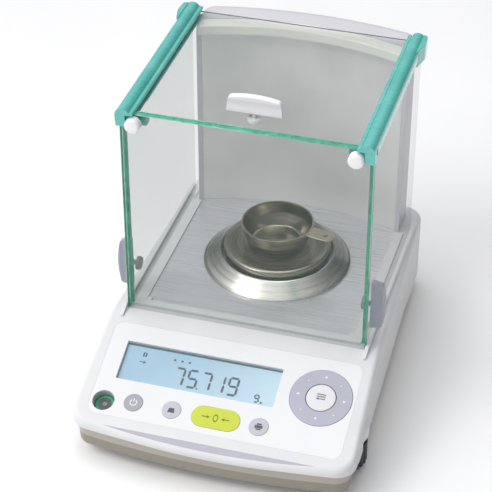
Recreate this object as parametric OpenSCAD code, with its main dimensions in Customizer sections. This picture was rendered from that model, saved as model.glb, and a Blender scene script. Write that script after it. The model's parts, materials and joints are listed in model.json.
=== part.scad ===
// Analytical balance with a glass draught shield, a sloping key panel and an 80 mm pan.
// X runs to the right, Y to the back and Z up; the origin is under the middle of the base.

/* [Base] */
// Half width of the base at its front corners
base_half_w = 102; // [98:0.5:106]
// Furthest forward point of the base
base_front_y = -145.5; // [-150:0.5:-142]
// Furthest back point of the base
base_rear_y = 145.5; // [142:0.5:150]
// Angle by which each side of the base narrows towards the back
side_taper = 2.23; // [1.5:0.01:2.6]
// Height of the deck above the table
deck_z = 67; // [66:0.5:68]
// Height of the underside of the base above the table
belly_z = 10; // [9:0.5:11]
// Wall thickness of the mouldings
wall = 2.5; // [2:0.1:3]

/* [Key panel] */
// Slope of the key panel
panel_slope = 21.5; // [20:0.1:22]
// Front edge of the sloping panel
panel_y = -137; // [-139:0.5:-135]
// Height of the panel's front edge
panel_z = 34; // [33:0.5:35]
// Width of the display window
display_w = 115; // [108:1:118]
// Height of the display window along the slope
display_h = 31; // [28:0.1:33]
// Outer radius of the four-way ring
nav_r = 22.1; // [20:0.1:23]

/* [Weighing chamber] */
// Half width over the glass of the side doors
glass_half_w = 88; // [86:0.5:89]
// Front face of the front glass
glass_front_y = -47; // [-49:0.5:-46]
// Thickness of the front glass
front_glass_t = 4; // [3:0.5:4]
// Thickness of the door glass
door_glass_t = 3.5; // [3:0.25:3.5]
// Height of the top face of the top door
glass_top_z = 232; // [230:0.5:233]
// Length of the sliding doors
door_l = 147; // [142:1:148]

/* [Column] */
// Half width of the column
column_half_w = 80; // [78:0.5:81]
// Middle of the curved rear wall of the chamber
wall_mid_y = 114; // [112:0.5:116]
// Middle of the curved back of the column
column_rear_y = 141; // [139:0.5:142]
// Height of the top of the column
column_top_z = 228; // [227:0.25:228]

/* [Pan] */
// Distance of the pan's centre behind the origin
pan_y = 40; // [38:0.5:42]
// Radius of the pan
pan_r = 40; // [38:0.5:40]
// Height of the pan's top face
pan_z = 84; // [83:0.5:85]
// Outer radius of the draught ring
ring_r = 55; // [52:0.5:57]
// Radius of the bowl's rim
bowl_r = 27; // [25:0.5:28]
// Height of the bowl
bowl_h = 18.5; // [16:0.5:20]

/* [Feet] */
// Distance of each levelling foot from the middle
foot_x = 84.5; // [84:0.25:85]
// Position of the levelling feet along Y
foot_y = -92; // [-94:0.5:-90]
// Radius of the levelling wheel
wheel_r = 17.5; // [16:0.5:17.5]

/* [Hidden] */

$fn = 96;
big = 400;                                  // longer than any part, for cutters
eps = 0.01;

cover_white = "#f3f3f5";
taupe = "#a59e91";
lavender = "#bcbac8";
teal = [0.35, 0.7, 0.66, 0.75];
clear_glass = [0.75, 0.9, 0.86, 0.3];
steel = "#b9b6ad";
board_green = "#2f6b46";
rubber_black = "#222222";
alloy = "#a9adb2";

// Plan of the base: a bowed front, tapering sides, round corners and a bowed back
front_bow_r = 600;
rear_bow_r = 480;
front_corner_r = 15;
rear_corner_r = 16;
front_corner_x = base_half_w - front_corner_r;
front_corner_y = base_front_y + front_bow_r
    - sqrt(pow(front_bow_r - front_corner_r, 2) - pow(front_corner_x, 2));
side_d = front_corner_x * cos(side_taper) + front_corner_y * sin(side_taper) + front_corner_r;
rear_bow_y = base_rear_y - rear_bow_r;
rear_corner_near_x = base_half_w - 25.6;
rear_corner_y = rear_bow_y + sqrt(pow(rear_bow_r - rear_corner_r, 2) - pow(rear_corner_near_x, 2));
rear_corner_x = (side_d - rear_corner_r - rear_corner_y * sin(side_taper)) / cos(side_taper);

// Panel places, measured right of the middle and up the slope from the panel's front edge
display_x = -21;
display_v = 52.5;
key_v = 20.4;
level_x = -81.5;
level_v = 18;
power_x = -60;
cal_x = -32;
print_x = 31;
nav_x = 67.5;
nav_v = 51.3;
level_r = 7.8;
level_depth = 10;
key_r = 6.8;
zero_w = 35;
zero_h = 16.5;
enter_r = 10.4;
nav_hole_r = 10.9;
key_gap = 0.25;
key_proud = 0.4;
flange = 1.2;
overlay_t = 0.3;
overlay_half_w = 91.5;
overlay_v0 = 7;
overlay_v1 = 82.5;
board_depth = 7;                            // top face of the keypad board below the panel
board_t = 1.6;
trim_half_w = 90;
trim_t = 0.8;
trim_inset = 3;                             // from the base's front edge to the trim

// Chamber
door_x0 = glass_half_w - door_glass_t;      // inner face of a side door
front_glass_y1 = glass_front_y + front_glass_t;
door_y0 = front_glass_y1 + 1;
top_door_z0 = glass_top_z - door_glass_t;
top_door_half_w = 79.5;
track_top_z = deck_z + 4;
frame_top_z = deck_z + 2.5;
groove_z = deck_z + 1.2;
side_door_z0 = groove_z + 0.3;
slot_gap = 0.3;
track_y0 = front_glass_y1 + slot_gap;
track_y1 = 116;
floor_half_w = 77;
floor_front_y = -37;
floor_t = 1.2;

// Arcs in plan
wall_r = 220.8;
wall_cy = wall_mid_y - wall_r;
wall_half_w = column_half_w - 3.5;
cap_r = 204;
cap_mid_y = 103;
cap_half_w = 76;
cap_t = 8;
rear_r = 325;
rear_cy = column_rear_y - rear_r;

// Rails over the doors
rail_web_z = glass_top_z + 0.6;
rail_web_t = 2.2;
rail_bead_r = 5;
rail_in_x = 77;
rail_out_x = 89.5;
rail_leg_z = 227;
rail_y0 = glass_front_y - 4;
rail_y1 = 107;
lower_lip_z = top_door_z0 - 0.2;
boss_y1 = -36;
clip_x0 = 82.5;                              // inner edge of the clip in front of the glass
screw_x = 77;
screw_z = lower_lip_z - 2.5;
screw_r = 2;
knob_r = 5.5;
knob_l = 7;
washer_t = 0.5;

// Doors' grips
grip_l = 39.5;
grip_h = 13;
side_grip_h = grip_h - 2.5;
grip_t = 5;
nut_r = 5;
side_grip_y = -33;
side_grip_z = 98;
top_grip_y = -22;

// Weighing cell
cell_z0 = belly_z + wall + 2;
cell_z1 = 50;
cell_half_w = 18;
receiver_y0 = 28;
receiver_y1 = 51;
block_y0 = 52;
block_y1 = 100;
lever_pivot_y = 62;
lever_z0 = 52;
lever_t = 4;
pivot_pin_r = 1.2;
pot_y = 118;
pot_r = 16;
gap_in_r = 9;
gap_out_r = 14;
pin_r = 4;
pin_top_z = pan_z - 3;
fit_gap = 0.06;                             // radial clearance of a running fit

// Sockets in the back of the base
jack_x = -58;
jack_y = 129;
jack_z = 36;
jack_r = 5.1;
port_x = 52;
port_y = 130;
port_z = 35;

// Feet and screws
arch_z = 28;                                // top of the arch in the side wall over a wheel
pad_r = 10;
wheel_z0 = 6;
wheel_z1 = 24;
stud_r = 4;
neck_r = 3;
well_r = wheel_r + 1.5;
well_z = 28.5;
rear_foot_x = 70;
rear_foot_y = 98;
case_screw_places = [[-50, -130], [50, -130], [-56, 124], [56, 124]];
board_post_places = [[-84, -50], [-34, -50], [-84, 40], [-34, 40]];

// ---- Helpers ---------------------------------------------------------------------------

function arc_points(cx, cy, r, a0, a1, n) =
    [for (i = [0:n]) let (a = a0 + (a1 - a0) * i / n) [cx + r * cos(a), cy + r * sin(a)]];

// Right half of the base's plan, drawn inwards by d, from the front middle to the back middle
function half_plan(d) =
    let (fa = atan2(front_corner_y - base_front_y - front_bow_r, front_corner_x),
         ra = atan2(rear_corner_y - rear_bow_y, rear_corner_x))
    concat(
        arc_points(0, base_front_y + front_bow_r, front_bow_r - d, -90, fa, 6),
        arc_points(front_corner_x, front_corner_y, front_corner_r - d, fa, side_taper, 8),
        arc_points(rear_corner_x, rear_corner_y, rear_corner_r - d, side_taper, ra, 8),
        arc_points(0, rear_bow_y, rear_bow_r - d, ra, 90, 6));

module plan(d) {
    polygon(half_plan(d));
    mirror([1, 0]) polygon(half_plan(d));
}

// A shape drawn in Y and Z, run across the whole width
module across(half_w = big) {
    translate([-half_w, 0, 0]) rotate([90, 0, 90]) linear_extrude(2 * half_w) children();
}

// Children stand on the sloping panel, with their own Z along its normal
module on_panel(x, v) {
    translate([x, panel_y + v * cos(panel_slope), panel_z + v * sin(panel_slope)])
        rotate([panel_slope, 0, 0]) children();
}

module disc(r, z0, z1) {
    translate([0, 0, z0]) cylinder(r = r, h = z1 - z0);
}

module box(x0, y0, z0, x1, y1, z1) {
    translate([x0, y0, z0]) cube([x1 - x0, y1 - y0, z1 - z0]);
}

// A flat bar with round ends, centred, w long and h wide
module stadium(w, h, z0, z1) {
    translate([0, 0, z0]) linear_extrude(z1 - z0) {
        square([w - h, h], center = true);
        for (side = [-1, 1]) translate([side * (w - h) / 2, 0]) circle(d = h);
    }
}

module at_pan() {
    translate([0, pan_y, 0]) children();
}

module at_foot(side) {
    translate([side * foot_x, foot_y, 0]) children();
}

// The space behind an arc of the column's plan
module behind_arc(cy, r) {
    difference() {
        translate([-big / 2, 0]) square([big, big]);
        translate([0, cy]) circle(r = r, $fn = 360);
    }
}

// ---- Base ------------------------------------------------------------------------------

// Side view of the upper case, lowered and shortened by t all round the top
module case_profile(t) {
    deck_edge_y = -58;
    deck_edge_z = panel_z + (deck_edge_y - panel_y) * tan(panel_slope);
    polygon([
        [-big, 28], [-120, 26], [-112, 22], [66, 22], [92, 15], [big, 15],
        [big, deck_z - t], [-47 + t, deck_z - t], [-52 + t, deck_z - 0.5 - t],
        [deck_edge_y + t / 2, deck_edge_z - t], [panel_y, panel_z - t],
        [base_front_y, panel_z - 3 - t], [-big, panel_z - 3 - t]]);
}

module display_hole() {
    on_panel(display_x, display_v)
        box(-display_w / 2, -display_h / 2, -9, display_w / 2, display_h / 2, 3);
}

module key_holes(extra) {
    for (x = [power_x, cal_x, print_x]) on_panel(x, key_v) disc(key_r + extra, -9, 3);
    on_panel(0, key_v) stadium(zero_w + 2 * extra, zero_h + 2 * extra, -9, 3);
    on_panel(nav_x, nav_v) disc(nav_r + extra, -9, 3);
    on_panel(level_x, level_v) disc(level_r + extra, -9, 3);
}

module case_bosses() {
    for (p = case_screw_places)
        translate([p[0], p[1], 0]) difference() {
            disc(4, 17, p[1] < 0 ? panel_z + 2 : deck_z - wall);
            disc(1.56, 10, 30);
        }
}

// The swelling of the side wall over a levelling wheel
module foot_blister() {
    disc(wheel_r + 1, arch_z, 38);
    translate([0, 0, 38]) cylinder(r1 = wheel_r + 1, r2 = wheel_r - 4, h = 5);
}

module upper_case() {
    color(cover_white) difference() {
        union() {
            difference() {
                union() {
                    intersection() {
                        linear_extrude(deck_z) plan(0);
                        across() case_profile(0);
                    }
                    for (side = [-1, 1]) at_foot(side) foot_blister();
                }
                intersection() {
                    translate([0, 0, -1]) linear_extrude(big) plan(wall);
                    across() union() {
                        case_profile(wall);
                        translate([-big, -big]) square([2 * big, big + 30]);
                    }
                }
            }
            intersection() {
                case_bosses();
                across() case_profile(eps);
            }
        }
        display_hole();
        key_holes(key_gap);
        on_panel(0, 0) box(-overlay_half_w, overlay_v0, -overlay_t, overlay_half_w, overlay_v1, 3);
        at_pan() disc(16, 50, 80);
        box(-50, 119, 50, 50, 128, 80);
        front_trim_pocket();
        for (side = [-1, 1]) at_foot(side) disc(well_r, 0, arch_z);
        at_jack() disc(jack_r + 0.1, -5, 20);
        box(port_x - 16, port_y, port_z - 7, port_x + 16, port_y + 20, port_z + 7);
    }
}

module lower_shell(d) {
    intersection() {
        linear_extrude(30) plan(d);
        across() polygon([[base_front_y + 5.9 + d, belly_z], [base_front_y + 2.1 + d, 29.5], [-124, 29.5],
                          [-118, 21], [66, 21], [92, 14.5], [big, 14.5], [big, belly_z]]);
    }
}

module lower_case() {
    color(taupe) difference() {
        union() {
            difference() {
                lower_shell(3);
                translate([0, 0, wall]) lower_shell(3 + wall);
                translate([0, 0, 2 * wall]) lower_shell(3 + wall);
                translate([0, 0, 4 * wall]) lower_shell(3 + wall);
            }
            intersection() {
                for (side = [-1, 1]) at_foot(side) disc(well_r + wall, belly_z + 1, well_z + wall);
                linear_extrude(well_z + wall) plan(3);
            }
            for (side = [-1, 1]) at_foot(side) disc(7, well_z, 37);
            for (p = board_post_places) translate([p[0], p[1], 0]) disc(2.5, belly_z + 1, 16);
            for (p = case_screw_places) translate([p[0], p[1], 0]) disc(4, belly_z + 1, 16.8);
            box(-cell_half_w, block_y0 + 4, belly_z + 1, cell_half_w, 132, cell_z0);
        }
        for (side = [-1, 1]) at_foot(side) {
            disc(well_r, 0, well_z);
            disc(stud_r + fit_gap, 0, 50);
        }
        for (p = case_screw_places) translate([p[0], p[1], 0]) {
            disc(1.8, 0, 30);
            disc(3.3, 0, belly_z + 3.2);
        }
    }
}

module trim_plan(d) {
    intersection() {
        plan(d);
        translate([-trim_half_w, -big]) square([2 * trim_half_w, big + panel_y]);
    }
}

module front_trim_pocket() {
    translate([0, 0, panel_z - 4]) intersection() {
        linear_extrude(10) trim_plan(trim_inset);
        translate([0, panel_y, 4]) rotate([lip_slope(), 0, 0]) box(-big, -big, -trim_t, big, 0, 9);
    }
}

function lip_slope() = atan2(3, panel_y - base_front_y);

module front_trim() {
    color(lavender) translate([0, 0, panel_z - 4]) intersection() {
        linear_extrude(10) trim_plan(trim_inset + 0.1);
        translate([0, panel_y, 4]) rotate([lip_slope(), 0, 0]) box(-big, -big, -trim_t, big, -0.1, -0.05);
    }
}

module rear_feet() {
    color(rubber_black) for (side = [-1, 1]) translate([side * rear_foot_x, rear_foot_y, 0]) {
        disc(11, 0, 7);
        disc(8, 7, belly_z);
    }
}

module case_screws() {
    color(steel) for (p = case_screw_places) translate([p[0], p[1], 0]) {
        disc(3, belly_z + 0.6, belly_z + 3.2);
        disc(1.5, belly_z + 3.2, 28);
    }
}

module at_jack() {
    translate([jack_x, jack_y, jack_z]) rotate([-90, 0, 0]) children();
}

module dc_jack() {
    color(rubber_black) at_jack() difference() {
        union() {
            disc(7, 0, 8.5);
            disc(jack_r, 8.5, 12);
        }
        disc(3.2, 4, 20);
    }
}

module serial_port() {
    color(steel) difference() {
        union() {
            box(port_x - 18, port_y, port_z - 9, port_x + 18, port_y + 6, port_z + 9);
            box(port_x - 14, port_y + 6, port_z - 5.5, port_x + 14, port_y + 11, port_z + 5.5);
        }
        box(port_x - 11.5, port_y + 3, port_z - 3, port_x + 11.5, port_y + 20, port_z + 3);
    }
}

// ---- Panel -----------------------------------------------------------------------------

module panel_overlay() {
    color(cover_white) difference() {
        on_panel(0, 0) box(-overlay_half_w + 0.1, overlay_v0 + 0.1, -overlay_t, overlay_half_w - 0.1,
                           overlay_v1 - 0.1, 0);
        display_hole();
        key_holes(key_gap);
    }
}

module display_window() {
    color([0.7, 0.85, 0.95, 0.4]) on_panel(display_x, display_v)
        box(-display_w / 2 + 0.1, -display_h / 2 + 0.1, -2.4, display_w / 2 - 0.1, display_h / 2 - 0.1, -0.1);
}

module lcd_module() {
    color("#a9cbe0") on_panel(display_x, display_v)
        box(-display_w / 2 - 3, -display_h / 2 - 3, -board_depth, display_w / 2 + 3, display_h / 2 + 3, -2.9);
}

module keypad_board() {
    color(board_green) difference() {
        on_panel(0, 0) box(-90, 11, -board_depth - board_t, 92, 76, -board_depth);
        on_panel(level_x, level_v) disc(level_r + 2.5, -20, 0);
    }
}

module key_domes() {
    color("#d8d8d2") {
        for (x = [power_x, cal_x, print_x]) on_panel(x, key_v) disc(4, -board_depth, -4.4);
        on_panel(0, key_v) stadium(22, 6, -board_depth, -4.4);
        for (a = [0:90:270]) on_panel(nav_x, nav_v) rotate([0, 0, a])
            translate([16.5, 0, 0]) disc(3, -board_depth, -5);
    }
}

module round_key(x) {
    on_panel(x, key_v) {
        disc(key_r, -2.8, key_proud);
        disc(key_r + flange, -3.6, -2.8);
    }
}

module power_key() {
    color("#b0afb8") round_key(power_x);
}

module cal_key() {
    color(lavender) round_key(cal_x);
}

module print_key() {
    color(lavender) round_key(print_x);
}

module zero_key() {
    color("#d8e058") on_panel(0, key_v) {
        stadium(zero_w, zero_h, -2.8, key_proud);
        stadium(zero_w + 2 * flange, zero_h + 2 * flange, -3.6, -2.8);
    }
}

// The enter key slides in the pivot's bore, and the ring rocks round it on the pivot
module enter_key() {
    color(cover_white) on_panel(nav_x, nav_v) {
        disc(enter_r, -1.6, key_proud + 0.1);
        disc(2, -5, -1.6);
    }
}

module nav_pivot() {
    color("#d8d8d2") on_panel(nav_x, nav_v) difference() {
        union() {
            disc(4, -board_depth + 0.15, -3);
            box(-14.5, -1.5, -4.6, 14.5, 1.5, -2.65);
        }
        disc(2.3, -9, 0);
    }
}

module nav_ring() {
    color(lavender) on_panel(nav_x, nav_v) difference() {
        disc(nav_r - 0.3, -2.6, key_proud);
        disc(nav_hole_r + 0.3, -9, 3);
    }
}

module level_cup() {
    color("#8c8c90") on_panel(level_x, level_v) difference() {
        disc(level_r + 1.5, -level_depth - 1, -2.7);
        disc(level_r, -level_depth, 0);
    }
}

module level_vial() {
    color([0.55, 0.8, 0.6, 0.8]) on_panel(level_x, level_v) disc(level_r - 0.4, -level_depth, -5.5);
}

// ---- Electronics -----------------------------------------------------------------------

module main_board() {
    color(board_green) {
        box(-90, -56, 16, -28, 46, 17.6);
        box(-74, -30, 17.6, -54, -10, 20);
        box(-50, 10, 17.6, -36, 32, 22);
        for (y = [-44, -30, 24]) translate([-80, y, 0]) disc(4, 17.6, 28);
    }
}

module ribbon_cable() {
    cable_w = 22;
    cable_t = 0.8;
    color("#c9c9c4") translate([-63, -54, 18.4]) {
        cube([cable_w, 14, cable_t]);
        rotate([30, 0, 0]) cube([cable_w, cable_t, 30]);
    }
}

// ---- Chamber ---------------------------------------------------------------------------

module chamber_frame() {
    color(cover_white) {
        difference() {
            box(-door_x0 + slot_gap, track_y0, deck_z, door_x0 - slot_gap, 97, frame_top_z);
            box(-floor_half_w - 0.2, floor_front_y - 0.2, 0, floor_half_w + 0.2, big, big);
        }
        for (side = [-1, 1]) mirror([side < 0 ? 1 : 0, 0, 0]) {
            box(door_x0 - slot_gap, track_y0, deck_z, glass_half_w + slot_gap, track_y1, groove_z);
            translate([glass_half_w + slot_gap, 0, 0]) rotate([90, 0, 90]) linear_extrude(3 - slot_gap)
                polygon([[-52, deck_z - 0.48], [glass_front_y, deck_z], [track_y1, deck_z],
                         [track_y1, track_top_z], [track_y0 - 2, track_top_z]]);
            box(floor_half_w - 3.5, floor_front_y - 0.2, deck_z,
                floor_half_w + 0.2, floor_front_y + 4, frame_top_z);
        }
    }
}

module floor_plate() {
    color("#9a9aa2") difference() {
        box(-floor_half_w, floor_front_y, deck_z, floor_half_w, big / 2, deck_z + floor_t);
        linear_extrude(big) behind_arc(wall_cy, wall_r - 0.3);
        at_pan() disc(12, 0, big);
        for (side = [-1, 1]) mirror([side < 0 ? 1 : 0, 0, 0])
            box(floor_half_w - 3.7, floor_front_y - 1, 0, big, floor_front_y + 4.2, big);
    }
}

module front_glass() {
    color(clear_glass) difference() {
        box(-glass_half_w, glass_front_y, deck_z, glass_half_w, front_glass_y1, glass_top_z);
        for (side = [-1, 1]) translate([side * screw_x, 0, screw_z]) rotate([90, 0, 0]) disc(2.6, -big, big);
    }
}

// Cross-section of the right-hand rail: a web over the doors, legs between and outside them, and a bead
module rail_section() {
    difference() {
        union() {
            translate([rail_in_x, rail_leg_z])
                square([rail_out_x - rail_in_x, rail_web_z + rail_web_t - rail_leg_z]);
            intersection() {
                translate([rail_out_x - rail_bead_r, rail_web_z]) circle(r = rail_bead_r, $fn = 64);
                translate([rail_in_x, rail_web_z]) square([rail_out_x - rail_in_x, 2 * rail_bead_r]);
            }
        }
        translate([0, lower_lip_z]) square([top_door_half_w + 0.5, rail_web_z - lower_lip_z]);
        translate([door_x0 - slot_gap, 0]) square([door_glass_t + 2 * slot_gap, rail_web_z]);
    }
}

module right_side_rail() {
    difference() {
        union() {
            translate([0, rail_y1, 0]) rotate([90, 0, 0]) linear_extrude(rail_y1 - rail_y0) rail_section();
            box(screw_x - 7, front_glass_y1 + 0.2, 221.5, door_x0 - slot_gap, boss_y1, lower_lip_z);
            box(clip_x0, rail_y0, 223.5, rail_out_x, glass_front_y - 0.2, rail_web_z);
            translate([0, rail_y1, 0]) rotate([90, 0, 0]) linear_extrude(24) intersection() {
                translate([rail_out_x - 6.4, 230]) circle(r = 9.6, $fn = 64);
                translate([glass_half_w + slot_gap, 222]) square([8, 15]);
            }
        }
        box(0, glass_front_y - 0.2, 0, big, front_glass_y1 + 0.2, rail_web_z);
        box(0, rail_y0 - 1, 0, clip_x0, glass_front_y, rail_web_z);
        box(0, 97, 0, door_x0 - 1.6, big, column_top_z + 0.2);
        translate([screw_x, 0, screw_z]) rotate([90, 0, 0]) disc(screw_r + fit_gap, -big, big);
    }
}

module right_rail() {
    color(teal) right_side_rail();
}

module left_rail() {
    color(teal) mirror([1, 0, 0]) right_side_rail();
}

module side_door_glass(side) {
    mirror([side < 0 ? 1 : 0, 0, 0]) difference() {
        box(door_x0, door_y0, side_door_z0, glass_half_w, door_y0 + door_l, glass_top_z + 0.2);
        translate([0, side_grip_y, side_grip_z]) rotate([0, 90, 0]) disc(1.8, 0, big);
    }
}

// A grip standing on z = 0: wider at its root, with a round stud below it through the glass
module grip(h) {
    difference() {
        translate([0, grip_t / 2, 0]) rotate([90, 0, 0]) linear_extrude(grip_t) polygon([
            [-grip_l / 2, 0], [grip_l / 2, 0], [grip_l / 2 - 1, h - 3.4], [grip_l / 2 - 2.6, h - 1.6],
            [grip_l / 4, h - 0.3], [0, h], [-grip_l / 4, h - 0.3],
            [-grip_l / 2 + 2.6, h - 1.6], [-grip_l / 2 + 1, h - 3.4]]);
        for (side = [-1, 1]) translate([0, side * (grip_t / 2 + 19.2), h * 0.55]) rotate([0, 90, 0])
            translate([0, 0, -grip_l]) cylinder(r = 20, h = 2 * grip_l);
    }
    disc(1.6, -door_glass_t, 0);
}

module grip_nut() {
    disc(nut_r, -door_glass_t - 3, -door_glass_t);
}

module on_side_door(side) {
    mirror([side < 0 ? 1 : 0, 0, 0]) translate([glass_half_w, side_grip_y, side_grip_z])
        rotate([0, 90, 0]) children();
}

module on_top_door() {
    translate([0, top_grip_y, glass_top_z]) children();
}

module left_door_glass() {
    color(clear_glass) side_door_glass(-1);
}

module right_door_glass() {
    color(clear_glass) side_door_glass(1);
}

module top_door_glass() {
    color(clear_glass) difference() {
        box(-top_door_half_w, door_y0, top_door_z0, top_door_half_w, door_y0 + door_l, glass_top_z);
        on_top_door() disc(1.8, -big, big);
    }
}

module left_door_handle() {
    color("#b9b9c2") on_side_door(-1) grip(side_grip_h);
}

module right_door_handle() {
    color("#b9b9c2") on_side_door(1) grip(side_grip_h);
}

module top_door_handle() {
    color("white") on_top_door() grip(grip_h);
}

module left_door_nut() {
    color("white") on_side_door(-1) grip_nut();
}

module right_door_nut() {
    color("white") on_side_door(1) grip_nut();
}

module top_door_nut() {
    color("white") on_top_door() grip_nut();
}

// Children lie on a thumbscrew's axis, with their own Z pointing forwards out of the glass
module on_screw(side) {
    translate([side * screw_x, glass_front_y, screw_z]) rotate([90, 0, 0]) children();
}

module thumbscrew(side) {
    on_screw(side) {
        disc(knob_r, washer_t + 0.1, knob_l - 1.5);
        translate([0, 0, knob_l - 1.5]) cylinder(r1 = knob_r, r2 = knob_r - 1.8, h = 1.5);
        disc(screw_r, -9.5, washer_t + 0.1);
    }
}

module screw_washer(side) {
    on_screw(side) difference() {
        disc(4.2, 0.02, washer_t);
        disc(screw_r + fit_gap, -1, 2);
    }
}

module left_thumbscrew() {
    color("white") thumbscrew(-1);
}

module right_thumbscrew() {
    color("white") thumbscrew(1);
}

module left_washer() {
    color("#dddddd") screw_washer(-1);
}

module right_washer() {
    color("#dddddd") screw_washer(1);
}

// ---- Column ----------------------------------------------------------------------------

module rear_wall() {
    color("#b1b1b4") translate([0, 0, deck_z]) linear_extrude(column_top_z - cap_t - deck_z) intersection() {
        difference() {
            behind_arc(wall_cy, wall_r);
            behind_arc(wall_cy, wall_r + wall);
        }
        translate([-wall_half_w + 0.1, 0]) square([2 * wall_half_w - 0.2, big]);
    }
}

module column_plan(d) {
    intersection() {
        difference() {
            behind_arc(wall_cy, wall_r);
            behind_arc(rear_cy, rear_r - d);
        }
        translate([-column_half_w + d, 0]) square([2 * column_half_w - 2 * d, big]);
    }
}

module column_profile(d) {
    top_r = 14 - d;
    polygon(concat(
        [[0, -big], [0, column_top_z - d]],
        [for (i = [0:6]) let (a = 90 - 15 * i)
            [column_rear_y - 14 + top_r * cos(a), column_top_z - 14 + top_r * sin(a)]],
        [[big, column_top_z - 14], [big, -big]]));
}

module column_solid(d) {
    intersection() {
        translate([0, 0, deck_z]) linear_extrude(column_top_z - deck_z) column_plan(d);
        across() column_profile(d);
    }
}

module column_cover() {
    color(cover_white) difference() {
        column_solid(0);
        difference() {
            translate([0, 0, -1]) column_solid(3.5);
            box(-big, 0, column_top_z - 2.5, big, big, big);
        }
        translate([0, 0, deck_z - 1]) linear_extrude(column_top_z - cap_t - deck_z + 1) intersection() {
            difference() {
                translate([-wall_half_w, 0]) square([2 * wall_half_w, big]);
                behind_arc(wall_cy, wall_r + wall);
            }
            behind_arc(wall_cy, wall_r - 1);
        }
    }
}

module column_cap() {
    color("#dedfd6") translate([0, 0, column_top_z - cap_t]) linear_extrude(cap_t) intersection() {
        difference() {
            behind_arc(cap_mid_y - cap_r, cap_r);
            behind_arc(wall_cy, wall_r - 0.05);
        }
        translate([-cap_half_w, 0]) square([2 * cap_half_w, big]);
    }
}

// ---- Weighing cell ---------------------------------------------------------------------

// Children lie on the lever's pivot, with their own Z across the balance
module at_lever_pivot() {
    translate([0, lever_pivot_y, lever_z0 + lever_t / 2]) rotate([0, 90, 0]) children();
}

module cell_block() {
    color(alloy) {
        difference() {
            box(-cell_half_w, block_y0, cell_z0, cell_half_w, block_y1, cell_z1);
            for (z = [21, 44]) {
                box(-big, block_y0 + 5, z - 0.4, big, block_y1 - 8, z + 0.4);
                for (y = [block_y0 + 6, block_y1 - 10])
                    translate([0, y, z]) rotate([0, 90, 0]) disc(2.5, -big, big);
            }
        }
        for (side = [-1, 1]) difference() {
            box(side * 9.5 - 1.5, lever_pivot_y - 4, cell_z1, side * 9.5 + 1.5, lever_pivot_y + 4, 57.5);
            at_lever_pivot() disc(pivot_pin_r + fit_gap, -big, big);
        }
    }
}

module magnet_pot() {
    color("#6f7276") translate([0, pot_y, 0]) difference() {
        disc(pot_r, cell_z0, 48);
        difference() {
            disc(gap_out_r, 24, 60);
            disc(gap_in_r, 0, 60);
        }
    }
}

module load_receiver() {
    color(alloy) difference() {
        box(-cell_half_w, receiver_y0, cell_z0 + 2, cell_half_w, receiver_y1, cell_z1);
        box(-big, receiver_y0 + 5, cell_z0 + 8, big, receiver_y1 - 5, cell_z1 - 7);
    }
}

module pan_spindle() {
    color(steel) at_pan() {
        disc(8, cell_z1, cell_z1 + 3);
        disc(5.5, cell_z1 + 3, 71);
        disc(pin_r, 71, pin_top_z);
    }
}

module lever_arm() {
    color(alloy) {
        box(-6, block_y0 - 1, lever_z0, 6, pot_y - 4, lever_z0 + lever_t);
        translate([0, pot_y, 0]) disc(12, lever_z0, lever_z0 + 2.5);
        at_lever_pivot() disc(pivot_pin_r, -11, 11);
    }
}

module force_coil() {
    color("#b87333") translate([0, pot_y, 0]) difference() {
        disc(12, 36, lever_z0);
        disc(10.8, 30, 60);
    }
}

// ---- Pan, ring and bowl ----------------------------------------------------------------

module pan() {
    skin = 1;
    rim_h = 7;
    color(steel) at_pan() rotate_extrude() polygon([
        [0, pan_z - skin], [pan_r - 2, pan_z - skin], [pan_r - skin, pan_z - 2.4],
        [pan_r - skin, pan_z - rim_h], [pan_r, pan_z - rim_h], [pan_r, pan_z - 1.6],
        [pan_r - 1.6, pan_z], [0, pan_z]]);
}

module pan_hub() {
    color(alloy) at_pan() difference() {
        disc(9, 72, pan_z - 1);
        disc(pin_r + fit_gap, 60, pin_top_z);
    }
}

module draft_ring() {
    z0 = deck_z + floor_t;
    in_r = pan_r + 2;
    color(steel) at_pan() rotate_extrude() polygon([
        [ring_r - 0.6, z0], [ring_r, z0], [ring_r, z0 + 1.4], [in_r + 1.2, 78.6], [in_r, 78.6],
        [in_r, 75], [in_r + 1, 75], [in_r + 1, 77.2]]);
}

bowl_z = pan_z;
bowl_turn = -12;
tab_reach = 19.5;
tab_w = 12;

module bowl() {
    skin = 0.9;
    base_r = 21.5;
    color(steel) at_pan() difference() {
        union() {
            rotate_extrude() polygon([
                [0, bowl_z], [base_r - 2, bowl_z], [base_r, bowl_z + 2], [bowl_r - 1.5, bowl_z + bowl_h - 5],
                [bowl_r, bowl_z + bowl_h], [bowl_r - skin, bowl_z + bowl_h],
                [bowl_r - 1.5 - skin, bowl_z + bowl_h - 5],
                [base_r - skin, bowl_z + 2.4], [base_r - 2.4, bowl_z + skin], [0, bowl_z + skin]]);
            rotate([0, 0, bowl_turn]) difference() {
                translate([bowl_r - 3 + (tab_reach + 3 - tab_w / 2) / 2 + tab_w / 4, 0, 0])
                    stadium(tab_reach + 3, tab_w, bowl_z + bowl_h - 1.4, bowl_z + bowl_h - 0.4);
                disc(bowl_r - 0.8, 0, big);
            }
        }
        rotate([0, 0, bowl_turn]) translate([bowl_r + tab_reach - 7, 0, 0]) disc(1.6, 0, big);
    }
}

// ---- Levelling feet --------------------------------------------------------------------

module foot_pad(side) {
    at_foot(side) {
        disc(pad_r, 0, 4);
        disc(neck_r, 4, 9);
    }
}

module foot_wheel(side) {
    flutes = 24;
    at_foot(side) difference() {
        union() {
            disc(wheel_r, wheel_z0, wheel_z1);
            disc(stud_r, wheel_z1, 34);
        }
        disc(neck_r + fit_gap, 0, 9.3);
        for (i = [1:flutes]) rotate([0, 0, 360 * i / flutes]) translate([wheel_r + 0.4, 0, 0])
            cylinder(r = 1.2, h = big, $fn = 16);
    }
}

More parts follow.
